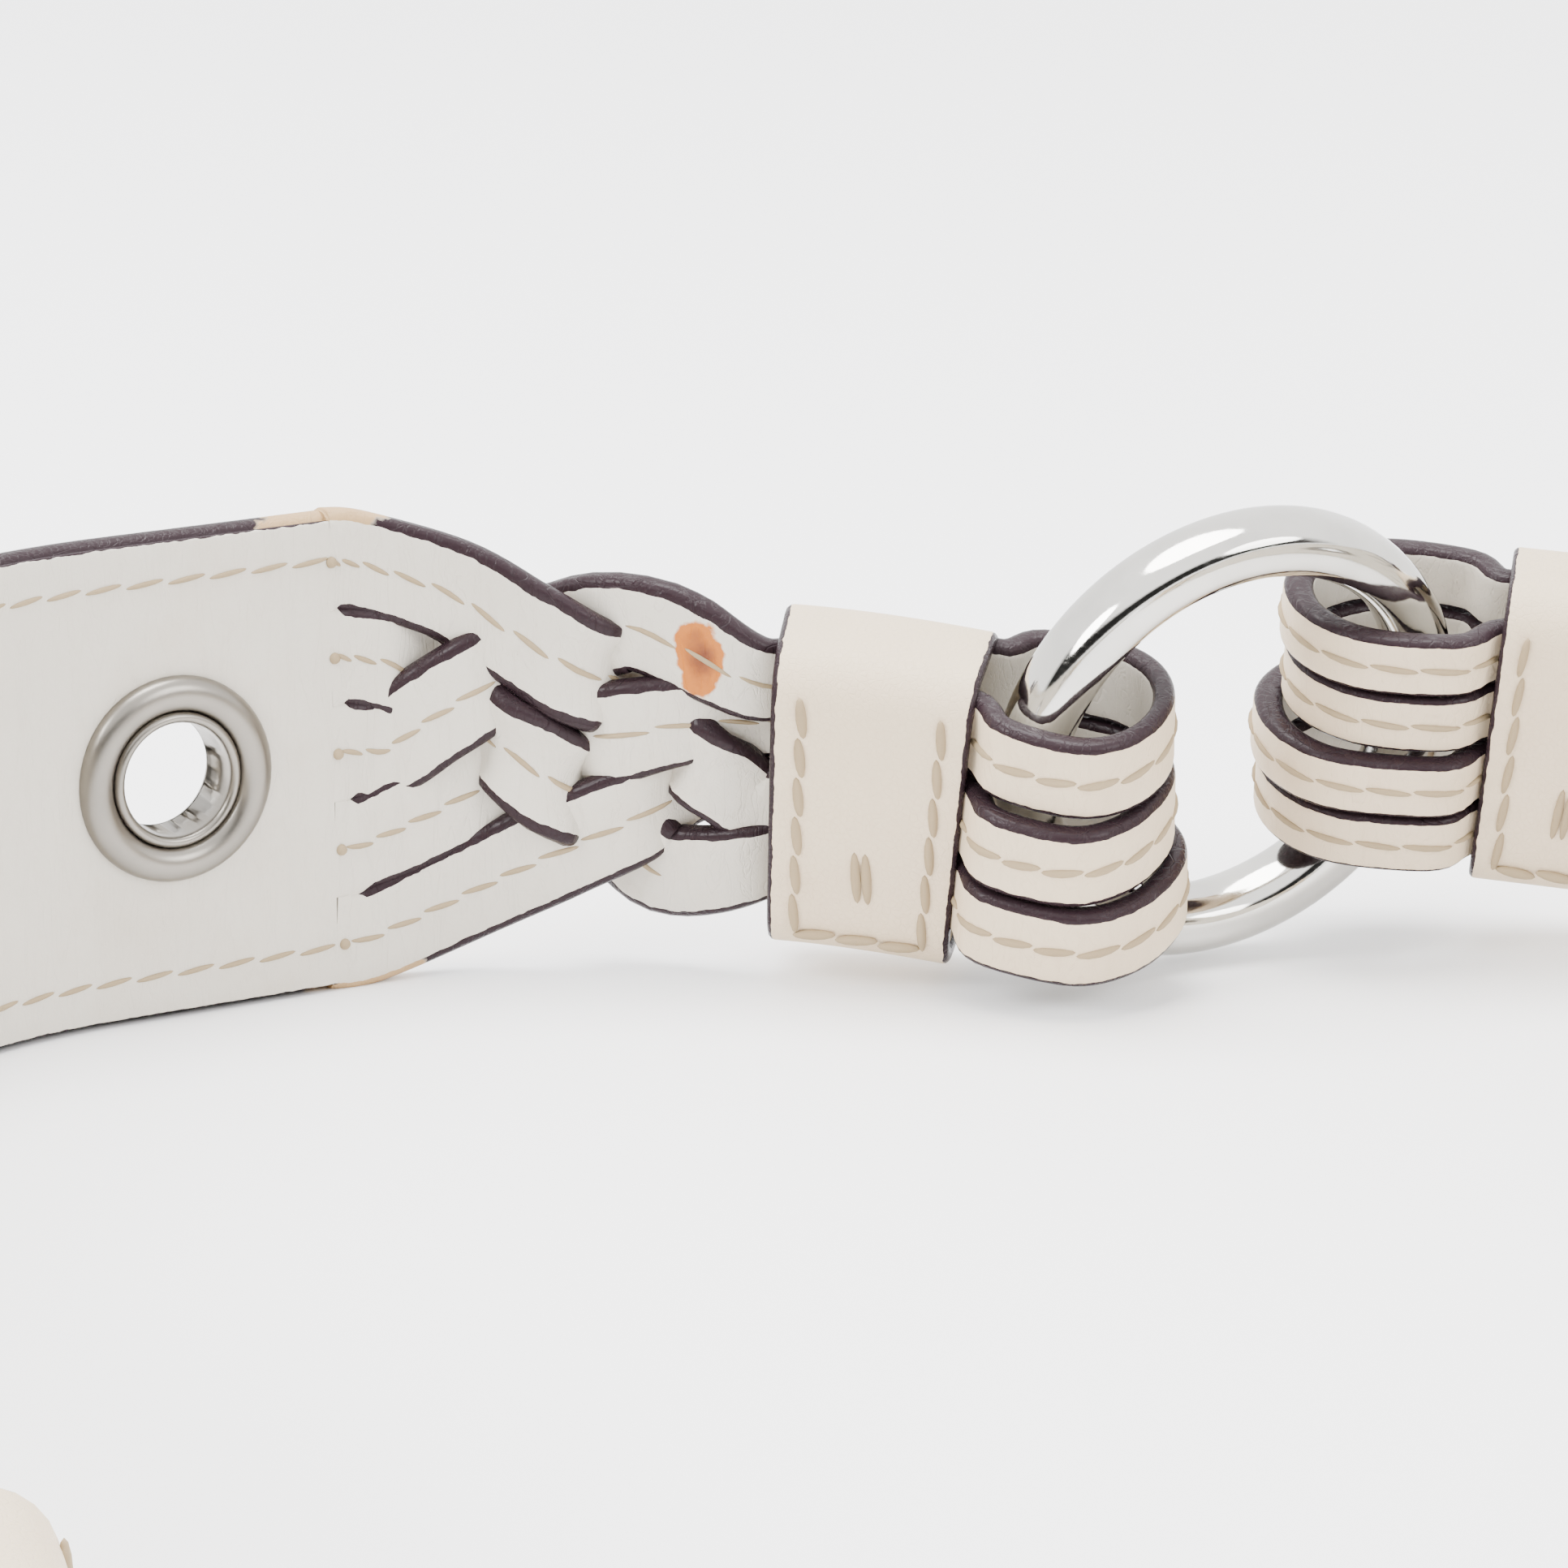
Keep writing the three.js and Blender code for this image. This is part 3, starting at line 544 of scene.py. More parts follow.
def stitch_run(bm, start, end, place, width=0.55 * mm, pitch=stitch_pitch, cover=0.92):
    """Stitches from start to end, both in a piece's flat (x, y, z), laid on by place."""
    start, end = Vector(start), Vector(end)
    count = max(1, round((end - start).length / pitch))
    step = (end - start) / count
    along = step.normalized()
    turn = Matrix.Rotation(math.atan2(along.z, along.x) * -1 + stitch_slant, 4, "Y")
    size = Matrix.Diagonal((step.length * cover, width * 0.9, width, 1))
    for index in range(count):
        centre_point = start + step * (index + 0.5)
        made = bmesh.ops.create_uvsphere(bm, u_segments=6, v_segments=6, radius=0.5)
        matrix = Matrix.Translation(centre_point) @ turn @ size @ Matrix.Rotation(math.pi / 2, 4, "Y")
        bmesh.ops.transform(bm, matrix=matrix, verts=made["verts"])
        for vert in made["verts"]:
            vert.co = place(*vert.co)


row_inset = 4.3 * mm


def strap_stitches(name, place, start, end, body):
    bm = bmesh.new()
    for z in (row_inset, strap_width - row_inset):
        for y in (-half_strap, half_strap):
            stitch_run(bm, (start, y, z), (end, y, z), place)
    make_piece(bm, name + "_edge_stitching", thread, body)


strap_stitches("center", place_centre, centre_start, centre_end, "center")


# ---------------------------------------------------------------- braided ends
# Each end of a strap is slit into five strips that are plaited and gathered in a keeper.  Three or
# four of them fold round a metal ring, and the others end in the keeper.  The strips keep the
# strap's two faces and have painted edges.
strip_count = 5
strip_width = 9.1 * mm
strip_thick = 2 * half_strap
strip_corner = 1.25 * mm
weave_lift = 1.3
weave_thick = 2.4
weave_held = 0.3
keeper_height = 31.2
keeper_depth = 16
keeper_wall = 1.7
keeper_sag = -0.6
loops_lowest = 1.3
loops_inset = 3.1
leg_offset = 4.5
fold_radius = 8.75
loop_thick = 2.6
sewn = 48 * mm
thick_stitch = 1.05 * mm
knot_radius = 0.55 * mm
loop_half = 9.7
# where strips cross, counted from the slits: (over, under, place along the section, height)
crossings = [
    (3, 2, 63, 25.5), (2, 4, 56, 17.5), (1, 3, 53, 29),
    (5, 2, 52, 10), (4, 1, 47, 21), (1, 5, 41.5, 14.5),
]
# place and height of each strip ahead of its first crossing, and of the bulges between crossings
lead = {1: (69, 40.0), 2: (69, 30.4), 3: (71, 22.2), 4: (66, 15.3), 5: (63, 6.8)}
swell = {1: (60.5, 36.2), 3: (46.5, 30.4), 2: (46.5, 4.6)}
# height and offset of each strip just before the keeper
mouth_place = 38.5
mouth = {3: (25.7, 1.7), 4: (20.6, -0.6), 5: (16.3, -1.5), 1: (12.3, 1.0), 2: (6.3, 1.7)}


def strip_leather(name, stains=(), bare=()):
    return leather(name, lining_colour, cream_colour, 0.25, 1.3, 0.85 * mm, 0.03, stains, bare)


class Strand:
    """A strip's middle line through stations of (s, n, v, width, thickness), in millimetres."""

    def __init__(self, stations):
        fine = []
        for index in range(len(stations) - 1):
            window = [stations[max(0, min(len(stations) - 1, index + k))] for k in (-1, 0, 1, 2)]
            gap = math.dist(window[1][:3], window[2][:3])
            steps = max(1, round(gap / 0.7))
            fine += [curved(window, k / steps) for k in range(steps)]
        fine.append(stations[-1])
        self.middle = [Vector(station[:3]) * mm for station in fine]
        self.sizes = [(station[3] * mm, station[4] * mm) for station in fine]
        self.reach = [0.0]
        for before, after in zip(self.middle, self.middle[1:]):
            self.reach.append(self.reach[-1] + (after - before).length)
        self.length = self.reach[-1]
        self.axes = []
        for index in range(len(fine)):
            ahead = self.middle[min(len(fine) - 1, index + 1)] - self.middle[max(0, index - 1)]
            ahead.normalize()
            across = Vector((0, 0, 1)) - ahead * ahead.z
            across.normalize()
            self.axes.append((ahead.cross(across), across))

    def place(self, x, y, z):
        """From flat (x, y, z) on the strip to the section's (s, n, v)."""
        low = 0
        high = len(self.reach) - 1
        while high - low > 1:
            half = (low + high) // 2
            if self.reach[half] <= x:
                low = half
            else:
                high = half
        part = (x - self.reach[low]) / (self.reach[high] - self.reach[low])
        face, across = [a.lerp(b, part) for a, b in zip(self.axes[low], self.axes[high])]
        wide, thick = [a + (b - a) * part for a, b in zip(self.sizes[low], self.sizes[high])]
        spot = self.middle[low].lerp(self.middle[high], part)
        return spot + face * (y * thick / strip_thick) + across * (z * wide / strip_width)


def curved(window, t):
    """Catmull-Rom point between the middle two of four stations."""
    before, start, end, after = window
    return tuple(
        0.5 * (2 * b + (c - a) * t + (2 * a - 5 * b + 4 * c - d) * t * t
               + (3 * b - a - 3 * c + d) * t ** 3)
        for a, b, c, d in zip(before, start, end, after)
    )


def held_level(path, index):
    """A crossing becomes two stations, so that the strip passes level over or under the other."""
    if abs(path[index][1]) != weave_lift:
        return [path[index]]
    s, n, v = path[index]
    beside = (path[index - 1], path[index + 1])
    return [(s + (far[0] - s) * weave_held, n, v + (far[2] - v) * weave_held) for far in beside]


def braid_stations(strip, base):
    slit_height = full_width * (1 - (strip - 0.5) / strip_count)
    path = [(root, 0, slit_height), (root - 4, 0.2, slit_height), (lead[strip][0], 0.2, lead[strip][1])]
    for over, under, s, height in crossings:
        if strip in (over, under):
            path.append((s, weave_lift if strip == over else -weave_lift, height))
    if strip in swell:
        path.append((swell[strip][0], 0.4, swell[strip][1]))
    path.append((mouth_place, mouth[strip][1], mouth[strip][0]))
    path.sort(reverse=True)
    path = [station for index in range(len(path)) for station in held_level(path, index)]
    # the strips spread between the slits and the keeper, and gather to the height of their keeper
    rise = base - keeper_sag
    stations = []
    for s, n, v in path:
        spread = smooth((root - s) / 8) * (1 - smooth((50 - s) / 10))
        width = strip_width / mm + 1.1 * spread - 0.9 * smooth((50 - s) / 12)
        thickness = strip_thick / mm + (weave_thick - strip_thick / mm) * smooth((root - s) / 10)
        stations.append((s, n, v + rise * smooth((root - s) / braid_length), width, thickness))
    return stations


def loop_stations(centre_height, width, stretch, bulge):
    """Through the keeper at the back, round the ring and back under the keeper's front."""
    flat = (centre_height, width, loop_thick)
    path = [(30, -leg_offset - 0.6), (20.5, -leg_offset - 0.6), (18.3, -leg_offset - 1),
            (16, 0.6 - fold_radius)]
    for index in range(7):
        angle = math.pi * index / 6
        out = fold_radius + (bulge if index > 3 else 0)
        path.append((loop_half - stretch - fold_radius * math.sin(angle), -out * math.cos(angle)))
    path += [(16, fold_radius + bulge - 0.6), (18.3, leg_offset + 1 + 0.6 * bulge), (20.5, leg_offset),
             (29.5, leg_offset)]
    return [(s, n, *flat) for s, n in path]


def close_slits(bm, half, strip):
    """Next to its slits a strip starts square and unpainted, where it is still one with the strap."""
    rim = bm.verts.layers.float["rim"]
    for vert in bm.verts:
        closed = 1 - smooth((vert.co.x - 1 * mm) / (4 * mm))
        outer = (strip == 1 and vert.co.z > 0) or (strip == strip_count and vert.co.z < 0)
        if closed > 0 and not outer:
            vert[rim] += closed * 1.5 * mm
            if abs(vert.co.z) > half - 1.3 * mm and abs(vert.co.y) > 0.1 * mm:
                vert.co.y += (math.copysign(half_strap, vert.co.y) - vert.co.y) * closed


def braided_end(name, place, base, looped, folds, body, stains=(), bare=()):
    material = strip_leather(name + "_strip_leather", stains, bare)
    inside_low = max(base, loops_lowest) + loops_inset
    room = keeper_height - 2 * loops_inset
    stitching = bmesh.new()
    for strip in range(1, strip_count + 1):
        stations = braid_stations(strip, base)
        if strip in looped:
            row = looped.index(strip)
            height = inside_low + room - (row + 0.5) * room / len(looped)
            stations += loop_stations(height, room / len(looped) - 0.3, *folds[row])
        else:
            stations.append((31, stations[-1][1], *stations[-1][2:]))
        strand = Strand(stations)
        half = strip_width / 2

        def lay(x, y, z, strand=strand):
            return place(*strand.place(x, y, z))

        bm = blank((0, strand.length), (-half_strap, half_strap), (-half, half), strip_corner,
                   round(strand.length / (0.9 * mm)), 8)
        close_slits(bm, half, strip)
        bend(bm, lay)
        piece = f"{name}_strip_{strip}"
        make_piece(bm, piece + "_leather", material, body, [piece])
        for y in (half_strap, -half_strap):
            stitch_run(stitching, (1.5 * mm, y, 0), (sewn, y, 0), lay)
        if strip in looped:
            stitch_run(stitching, (sewn, -half_strap, 0), (strand.length - 2 * mm, -half_strap, 0), lay,
                       thick_stitch, stitch_pitch, 1.0)
        knot = bmesh.ops.create_uvsphere(stitching, u_segments=8, v_segments=6, radius=knot_radius)
        bmesh.ops.translate(stitching, vec=lay(1 * mm, half_strap, 0), verts=knot["verts"])
    make_piece(stitching, name + "_strip_stitching", thread, body)


def place_center_left(s, n, v):
    return centre.point(centre_length - s, n, v)


middle_base = (full_width - keeper_height) / 2
stain = (centre.point(43 * mm, 3.6 * mm, 27.9 * mm), (2.3 * mm, 3 * mm, 4.5 * mm))
# how far each fold reaches past the first, towards the ring and towards the front
three_folds = [(0, 0), (0.2, 2.0), (1.6, 2.3)]
four_folds = [(0, 0), (-0.6, -0.4), (1.7, 1.2), (1.0, 0.7)]
braided_end("center_right", centre.point, keeper_sag, [3, 5, 2], three_folds, "center", [stain],
            bare_edges)
braided_end("center_left", place_center_left, middle_base, [3, 4, 5, 2], four_folds, "center")


# ---------------------------------------------------------------- keepers
# A sleeve of cream grain leather wrapped round the gathered strips, sewn along both sides and
# along the bottom, with painted edges and a bar tack that closes the seam.
keeper_leather = leather("keeper_leather", cream_colour, cream_colour, 0.8, 0.3, 0.45 * mm, -0.05)
keeper_corner = 5
keeper_seam = 2.6
keeper_pitch = 3.9 * mm


def sleeve(low, size, wall, corner):
    """A leather sleeve open along x, in a section's own (s, n, v) and in millimetres."""
    bm = bmesh.new()
    bmesh.ops.create_cube(bm, size=1)
    for vert in bm.verts:
        vert.co = Vector([a + (c + 0.5) * b for a, b, c in zip(low, size, vert.co)]) * mm
    runs = [edge for edge in bm.edges if edge_span(edge, 0) > 0]
    bmesh.ops.bevel(bm, geom=runs, offset=corner * mm, segments=6, affect="EDGES", profile=0.5,
                    material=-1)
    ends = [face for face in bm.faces if abs(face.normal.x) > 0.9]
    bmesh.ops.delete(bm, geom=ends, context="FACES_ONLY")
    bmesh.ops.recalc_face_normals(bm, faces=bm.faces[:])
    bmesh.ops.solidify(bm, geom=bm.faces[:], thickness=wall * mm)
    rims = [edge for edge in bm.edges if edge_span(edge, 0) < 1e-7 and edge.calc_face_angle(0) > 1]
    bmesh.ops.bevel(bm, geom=rims, offset=0.35 * wall * mm, segments=3, affect="EDGES", profile=0.5,
                    material=-1)
    crosswise = [edge for edge in bm.edges if edge_span(edge, 2) > 10 * mm]
    bmesh.ops.subdivide_edges(bm, edges=crosswise, cuts=9, use_grid_fill=True)
    runs = [edge for edge in bm.edges if edge_span(edge, 0) > size[0] / 2 * mm]
    bmesh.ops.subdivide_edges(bm, edges=runs, cuts=round(size[0] / 1.3), use_grid_fill=True)
    rim = bm.verts.layers.float.new("rim")
    for vert in bm.verts:
        vert[rim] = min(vert.co.x - low[0] * mm, (low[0] + size[0]) * mm - vert.co.x)
    return bm


def keeper(name, place, base, body):
    bm = sleeve((loop_reach, -keeper_depth / 2, base), (keeper_width, keeper_depth, keeper_height),
                keeper_wall, keeper_corner)
    bend(bm, place)
    make_piece(bm, name + "_sleeve", keeper_leather, body, [name])
    sewing = bmesh.new()
    left = (loop_reach + keeper_seam) * mm
    right = (loop_reach + keeper_width - keeper_seam) * mm
    bottom, top = (base + 3.2) * mm, (base + keeper_height - 3) * mm
    for y in (keeper_depth / 2 * mm, -keeper_depth / 2 * mm):
        for x in (left, right):
            stitch_run(sewing, (x, y, top), (x, y, bottom), place, thick_stitch, keeper_pitch, 1.02)
        stitch_run(sewing, (left, y, bottom), (right, y, bottom), place, thick_stitch, keeper_pitch,
                   1.02)
        tack = (left + right) / 2
        low, high = bottom + 4 * mm, bottom + 9.5 * mm
        for x in (tack - 0.5 * mm, tack + 0.5 * mm):
            stitch_run(sewing, (x, y, low), (x, y, high), place, 1.1 * mm, 5.5 * mm, 1.0)
    make_piece(sewing, name + "_stitching", thread, body)


keeper("center_right_keeper", centre.point, keeper_sag, "center")
keeper("center_left_keeper", place_center_left, middle_base, "center")


# ---------------------------------------------------------------- eyelets
# Each eyelet is a brushed nickel grommet: a barrel through the strap, its flange on the grain
# side and a domed washer on the lining side, with the barrel's lip rolled over the washer.
def metal(name, colour, roughness, scratches):
    material, tree, surface, where = new_material(name)
    stretch = node(tree, "ShaderNodeMapping", Vector=where, Scale=(1.0, 0.35, 3.0),
                   Rotation=(0.4, 0.3, 0.8))
    marks = node(tree, "ShaderNodeTexNoise", Vector=stretch.outputs[0], Scale=900.0, Detail=6.0,
                 Roughness=0.7)
    smears = node(tree, "ShaderNodeTexNoise", Vector=where, Scale=120.0, Detail=4.0)
    darker = tuple(c * 0.86 for c in colour)
    tone = blend_colour(tree, ramp(tree, smears.outputs["Fac"], 0.45, 0.7), colour, darker)
    tree.links.new(tone, surface.inputs["Base Color"])
    scratched = ramp(tree, marks.outputs["Fac"], 0.45, 0.75)
    uneven = maths(tree, "MULTIPLY_ADD", scratched, scratches, roughness)
    tree.links.new(uneven, surface.inputs["Roughness"])
    bump = node(tree, "ShaderNodeBump", Height=marks.outputs["Fac"], Strength=scratches,
                Distance=0.03 * mm)
    tree.links.new(bump.outputs[0], surface.inputs["Normal"])
    surface.inputs["Metallic"].default_value = 1.0
    return material


brushed_nickel = metal("brushed_nickel", (0.24, 0.222, 0.195, 1.0), 0.30, 0.05)


def arc(centre_r, centre_y, radius_r, radius_y, start, end, steps):
    """Points (r, y) on an elliptical arc, angles in degrees."""
    points = []
    for index in range(steps + 1):
        angle = math.radians(start + (end - start) * index / steps)
        points.append((centre_r + radius_r * math.cos(angle), centre_y + radius_y * math.sin(angle)))
    return points


def turned(profile, steps=56):
    """A closed outline of (radius, y) points, in millimetres, spun about the Y axis."""
    bm = bmesh.new()
    verts = [bm.verts.new(Vector((r, y, 0)) * mm) for r, y in profile]
    edges = [bm.edges.new((a, b)) for a, b in zip(verts, verts[1:] + verts[:1])]
    bmesh.ops.spin(bm, geom=verts + edges, cent=(0, 0, 0), axis=(0, 1, 0), angle=2 * math.pi,
                   steps=steps, use_merge=True)
    bmesh.ops.remove_doubles(bm, verts=bm.verts[:], dist=1e-6)
    return bm


def aimed(bm, middle, direction):
    turn = Vector((0, 1, 0)).rotation_difference(direction).to_matrix().to_4x4()
    bmesh.ops.transform(bm, matrix=Matrix.Translation(middle) @ turn, verts=bm.verts[:])
    return bm


def eyelet(name, route, side, s, body):
    middle = route.point(s, 0, strap_width / 2)
    direction = route.frame(s)[1] * side
    washer = arc(8.0, 1.95, 1.65, 1.35, 0, 180, 16) + [(6.3, 1.82), (9.65, 1.82)]
    grommet = arc(5.85, 2.15, 0.55, 0.75, 0, 180, 10) + [(5.3, -2.4)]
    grommet += arc(6.3, -2.2, 1.0, 1.2, 180, 270, 6) + arc(8.3, -2.2, 1.35, 1.2, 270, 360, 8)
    grommet += [(9.65, -1.85), (6.25, -1.85)]
    parts = ((washer, "_washer", "_domed_washer"), (grommet, "_grommet", "_rolled_grommet"))
    for profile, part, looks in parts:
        bm = aimed(turned(profile), middle, direction)
        make_piece(bm, name + looks, brushed_nickel, body, [name + part])


for index, hole in enumerate(centre_holes):
    eyelet(f"center_eyelet_{index + 1}", centre, 1, hole, "center")


# ---------------------------------------------------------------- rings
# Two cast rings of polished nickel with a rounded oval section.  Each hangs in the folds of two
# braided ends and joins their sections, and it can swing in both.
polished_nickel = metal("polished_nickel", (0.62, 0.605, 0.57, 1.0), 0.07, 0.08)
ring_tube = 20.7
ring_half_thick = 2.9
ring_half_deep = 3.5


def squared(value, power):
    """Turns a circle's sine or cosine into that of an oval with squarer shoulders."""
    return math.copysign(abs(value) ** power, value)


def ring(name, near, far, lean, body):
    near, far = Vector(near), Vector(far)
    level = (far - near).normalized()
    facing = Vector((level.y, -level.x, 0))
    upright = Vector((0, 0, 1)) * math.cos(lean) + facing * math.sin(lean)
    section = []
    for index in range(28):
        angle = 2 * math.pi * index / 28
        r = squared(math.cos(angle), 0.8) * ring_half_thick
        y = squared(math.sin(angle), 0.8) * ring_half_deep
        section.append((ring_tube + r, y))
    bm = aimed(turned(section, 120), (near + far) / 2, level.cross(upright))
    make_piece(bm, name + "_polished", polished_nickel, body, [name])


buckle_hinge = joints["buckle_side_swing"]["pos_m"]
billet_hinge = joints["billet_side_swing"]["pos_m"]
ring("ring_right", joints["ring_right_swing"]["pos_m"], buckle_hinge, math.radians(18.7), "right_ring")
ring("ring_left", joints["ring_left_swing"]["pos_m"], billet_hinge, 0, "left_ring")


# ---------------------------------------------------------------- buckle section
# The right-hand section: a braided end on the right ring, and a strap with one eyelet that
# narrows to the billet's width before it meets the buckle's tab.
buckle_flat = 28
buckle_bend = 44
taper = 34
narrow = 56
narrow_width = 31 * mm
buckle = Route(
    -8,
    [(loop_reach, 0), (keeper_width, -6), (braid_length, -62), (buckle_flat, 0), (buckle_bend, -14),
     (taper + narrow, 0)],
    lean=[(0, -17), (37, -13), (root, 0)],
    lift=[(-15, 4.4), (45, 0), (root, 0)],
)
buckle.hang(12.2 * mm, 0.4 * mm, buckle_hinge)


def place_buckle(s, n, v):
    return buckle.point(s, -n, v)


def narrowing(start):
    def edges(x):
        half = strap_width / 2 + (narrow_width - strap_width) / 2 * smooth((x - start) / (taper * mm))
        return strap_width / 2 - half, strap_width / 2 + half
    return edges


braided_end("buckle_side", place_buckle, middle_base, [3, 4, 5, 2], four_folds, "buckle_side")
keeper("buckle_side_keeper", place_buckle, middle_base, "buckle_side")
taper_start = (root + buckle_flat + buckle_bend) * mm
buckle_end = taper_start + (taper + narrow) * mm
buckle_hole = (root + root_clear) * mm
place_buckle_strap = strap("buckle_side", buckle, -1, root * mm, buckle_end, narrowing(taper_start),
                           [buckle_hole], "buckle_side")
strap_stitches("buckle_side", place_buckle_strap, root * mm, buckle_end, "buckle_side")
eyelet("buckle_side_eyelet", buckle, -1, buckle_hole, "buckle_side")


# ---------------------------------------------------------------- buckle
# A bent and polished wire frame with a cast prong, held at its bar by a folded tab of grain
# leather that is sewn to the strap's end.  Two sleeves of the same leather hold the billet.
bar_place = buckle_end / mm + 9
bar_radius = 2.3
bar_sides = 16
middle = strap_width / 2
tab_back = bar_place - 26
tab_leaf = 3.0
tab_wrap = 3.7
tab_width = narrow_width - 1 * mm
buckle_long = 40
buckle_half = 16.5 + bar_radius


def place_bar(x, y, z):
    """x along the strap from the bar, y towards the grain face and z up from the middle."""
    return buckle.point(bar_place * mm + x, y, middle + z)


def folded_tab():
    flat = (middle / mm, tab_width / mm, 1.8)
    sewn_leaf = [tab_back, tab_back + 9, bar_place - 6]
    path = [(s, -tab_leaf) for s in sewn_leaf]
    for index in range(9):
        angle = math.pi * index / 8
        path.append((bar_place + tab_wrap * math.sin(angle), -tab_wrap * math.cos(angle)))
    path += [(s, tab_leaf) for s in reversed(sewn_leaf)]
    strand = Strand([(s, n, *flat) for s, n in path])
    half = strip_width / 2
    bm = blank((0, strand.length), (-half_strap, half_strap), (-half, half), 0.9 * mm,
               round(strand.length / (0.8 * mm)), 24)
    slot_half = strip_width * 4.3 * mm / tab_width
    slot_reach = (math.pi * tab_wrap / 2 + 8.5) * mm
    slot = [face for face in bm.faces if abs(face.normal.y) > 0.9
            and abs(face.calc_center_median().x - strand.length / 2) < slot_reach
            and abs(face.calc_center_median().z) < slot_half]
    bmesh.ops.delete(bm, geom=slot, context="FACES")
    bmesh.ops.bridge_loops(bm, edges=[edge for edge in bm.edges if len(edge.link_faces) == 1])

    def lay(x, y, z):
        return buckle.point(*strand.place(x, y, z))

    bend(bm, lay)
    make_piece(bm, "buckle_tab_leather", keeper_leather, "buckle_side", ["buckle_tab"])
    sewing = bmesh.new()
    for y in (-tab_leaf - 0.9, tab_leaf + 0.9):
        for s in (tab_back + 2, tab_back + 10):
            stitch_run(sewing, (s * mm, y * mm, middle - 12 * mm), (s * mm, y * mm, middle + 12 * mm),
                       buckle.point, 0.9 * mm)
    make_piece(sewing, "buckle_tab_stitching", thread, "buckle_side")


def swept(path, closed):
    """A rounded bar along (x, z) points, each with its half size in the plane and across it."""
    bm = bmesh.new()
    rings = []
    for index, (x, z, inward, across) in enumerate(path):
        ahead, behind = path[(index + 1) % len(path)], path[index - 1]
        if not closed:
            ahead, behind = path[min(index + 1, len(path) - 1)], path[max(index - 1, 0)]
        direction = Vector((ahead[0] - behind[0], ahead[1] - behind[1])).normalized()
        ring_verts = []
        for step in range(bar_sides):
            angle = 2 * math.pi * step / bar_sides
            a = squared(math.cos(angle), 0.7) * inward
            b = squared(math.sin(angle), 0.7) * across
            ring_verts.append(bm.verts.new(Vector((x - direction.y * a, b, z + direction.x * a)) * mm))
        rings.append(ring_verts)
    pairs = list(zip(rings, rings[1:] + rings[:1])) if closed else list(zip(rings, rings[1:]))
    for near, far in pairs:
        for step in range(bar_sides):
            after = (step + 1) % bar_sides
            bm.faces.new((near[step], near[after], far[after], far[step]))
    if not closed:
        bm.faces.new(rings[0])
        bm.faces.new(rings[-1])
    return bm


def buckle_frame():
    bend_radius = 4.5
    near, far = bend_radius, buckle_long - bend_radius
    high = buckle_half - bend_radius
    outline = []
    for corner, (x, z) in enumerate(((far, high), (near, high), (near, -high), (far, -high))):
        outline += arc(x, z, bend_radius, bend_radius, 90 * corner, 90 * corner + 90, 8)
    bm = swept([(x, z, bar_radius, bar_radius) for x, z in outline], True)
    bend(bm, place_bar)
    make_piece(bm, "buckle_frame_wire", polished_nickel, "buckle_frame",
               ["buckle_frame"])


def prong():
    """The eye curls round the bar, and the shank tapers to lie across the frame's far side."""
    eye_thin = 0.85
    eye = bar_radius + 0.3 + eye_thin
    path = [(x, z, eye_thin, 2.5) for x, z in arc(0, 0, eye, eye, -60, -270, 16)]
    path += [(3, eye + 0.4, 1.2, 2.5), (8, 4.3, 1.6, 2.5), (20, 4.4, 1.6, 2.3), (34, 4.2, 1.5, 2.0),
             (41.5, 4.0, 1.3, 1.7), (43.2, 3.9, 0.9, 1.2)]
    bm = swept(path, False)

    def lay(x, y, z):
        return place_bar(x, z, y)

    bend(bm, lay)
    make_piece(bm, "buckle_prong_cast", polished_nickel, "prong", ["buckle_prong"])


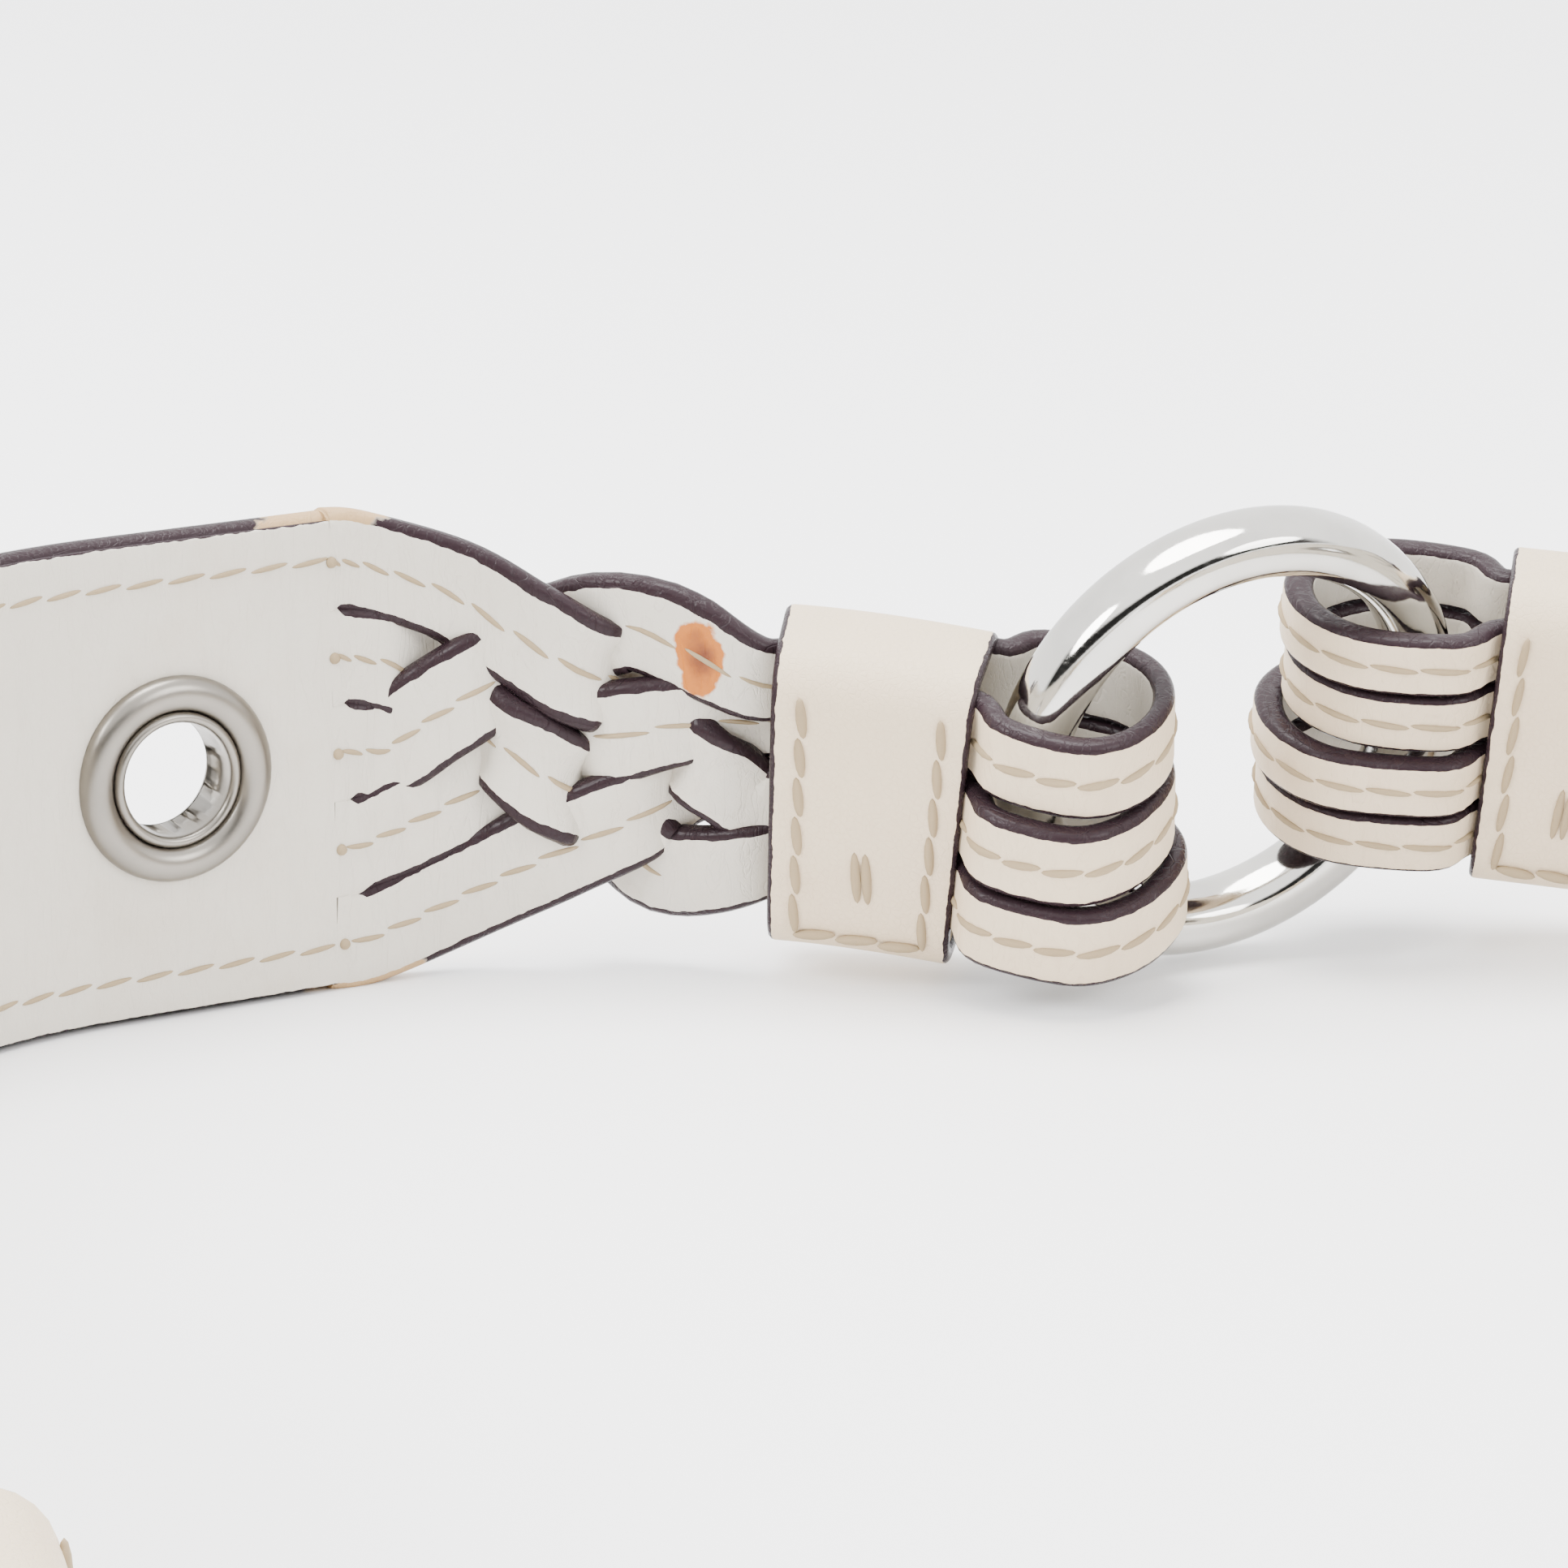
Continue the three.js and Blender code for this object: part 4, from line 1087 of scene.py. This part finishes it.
def strap_loop(name, start, width, body):
    wall, room, face, gap = 2, 1.8, 1.8, 0.3
    low = (start, -face - gap - wall, middle / mm - narrow_width / mm / 2 - gap - wall)
    size = (width, 4 * face + room + 2 * (gap + wall), narrow_width / mm + 2 * (gap + wall))
    bm = sleeve(low, size, wall, 2.6)
    bend(bm, buckle.point)
    make_piece(bm, name + "_leather", keeper_leather, body, [name])
    sewing = bmesh.new()
    for s in (start + 1.8, start + width - 1.8):
        for y in (low[1], low[1] + size[1]):
            stitch_run(sewing, (s * mm, y * mm, middle - 14 * mm), (s * mm, y * mm, middle + 14 * mm),
                       buckle.point, 0.8 * mm, 3.5 * mm)
    make_piece(sewing, name + "_stitching", thread, body)


folded_tab()
buckle_frame()
prong()
fixed_loop_width, sliding_loop_width = 9, 11
fixed_loop_place = tab_back - fixed_loop_width - 1
sliding_loop_place = fixed_loop_place - sliding_loop_width - 14
strap_loop("fixed_strap_loop", fixed_loop_place, fixed_loop_width, "buckle_side")
strap_loop("sliding_strap_loop", sliding_loop_place, sliding_loop_width, "sliding_loop")


# ---------------------------------------------------------------- billet section
# The belt's other end: a braided end on the left ring, and a strap of the same two leathers that
# is cut narrower to pass the buckle.  It has four eyelets and a tapered tip.
billet_lead = 8
billet_bend = 80
billet_straight = 130
billet = Route(280, [(root + billet_lead, 0), (billet_bend, 80), (billet_straight, 0)])
billet.hang(12.5 * mm, 0, billet_hinge)


billet_end = billet.length
tip_taper = 16 * mm
tip_width = 11 * mm
billet_narrowing = narrowing((root + billet_lead / 2) * mm)


def billet_edges(x):
    low, high = billet_narrowing(x)
    point = (narrow_width - tip_width) / 2 * smooth((x - billet_end + tip_taper) / tip_taper) ** 1.5
    return low + point, high - point


first_hole, hole_spacing = 25, 32
billet_holes = [billet_end - (first_hole + hole_spacing * index) * mm for index in range(4)]
braided_end("billet_side", billet.point, middle_base, [3, 4, 5, 2], four_folds, "billet_side")
keeper("billet_side_keeper", billet.point, middle_base, "billet_side")
place_billet_strap = strap("billet_side", billet, 1, root * mm, billet_end, billet_edges, billet_holes,
                           "billet_side")
strap_stitches("billet_side", place_billet_strap, root * mm, billet_end - 3 * mm, "billet_side")
for index, hole in enumerate(billet_holes):
    eyelet(f"billet_eyelet_{index + 1}", billet, 1, hole, "billet_side")
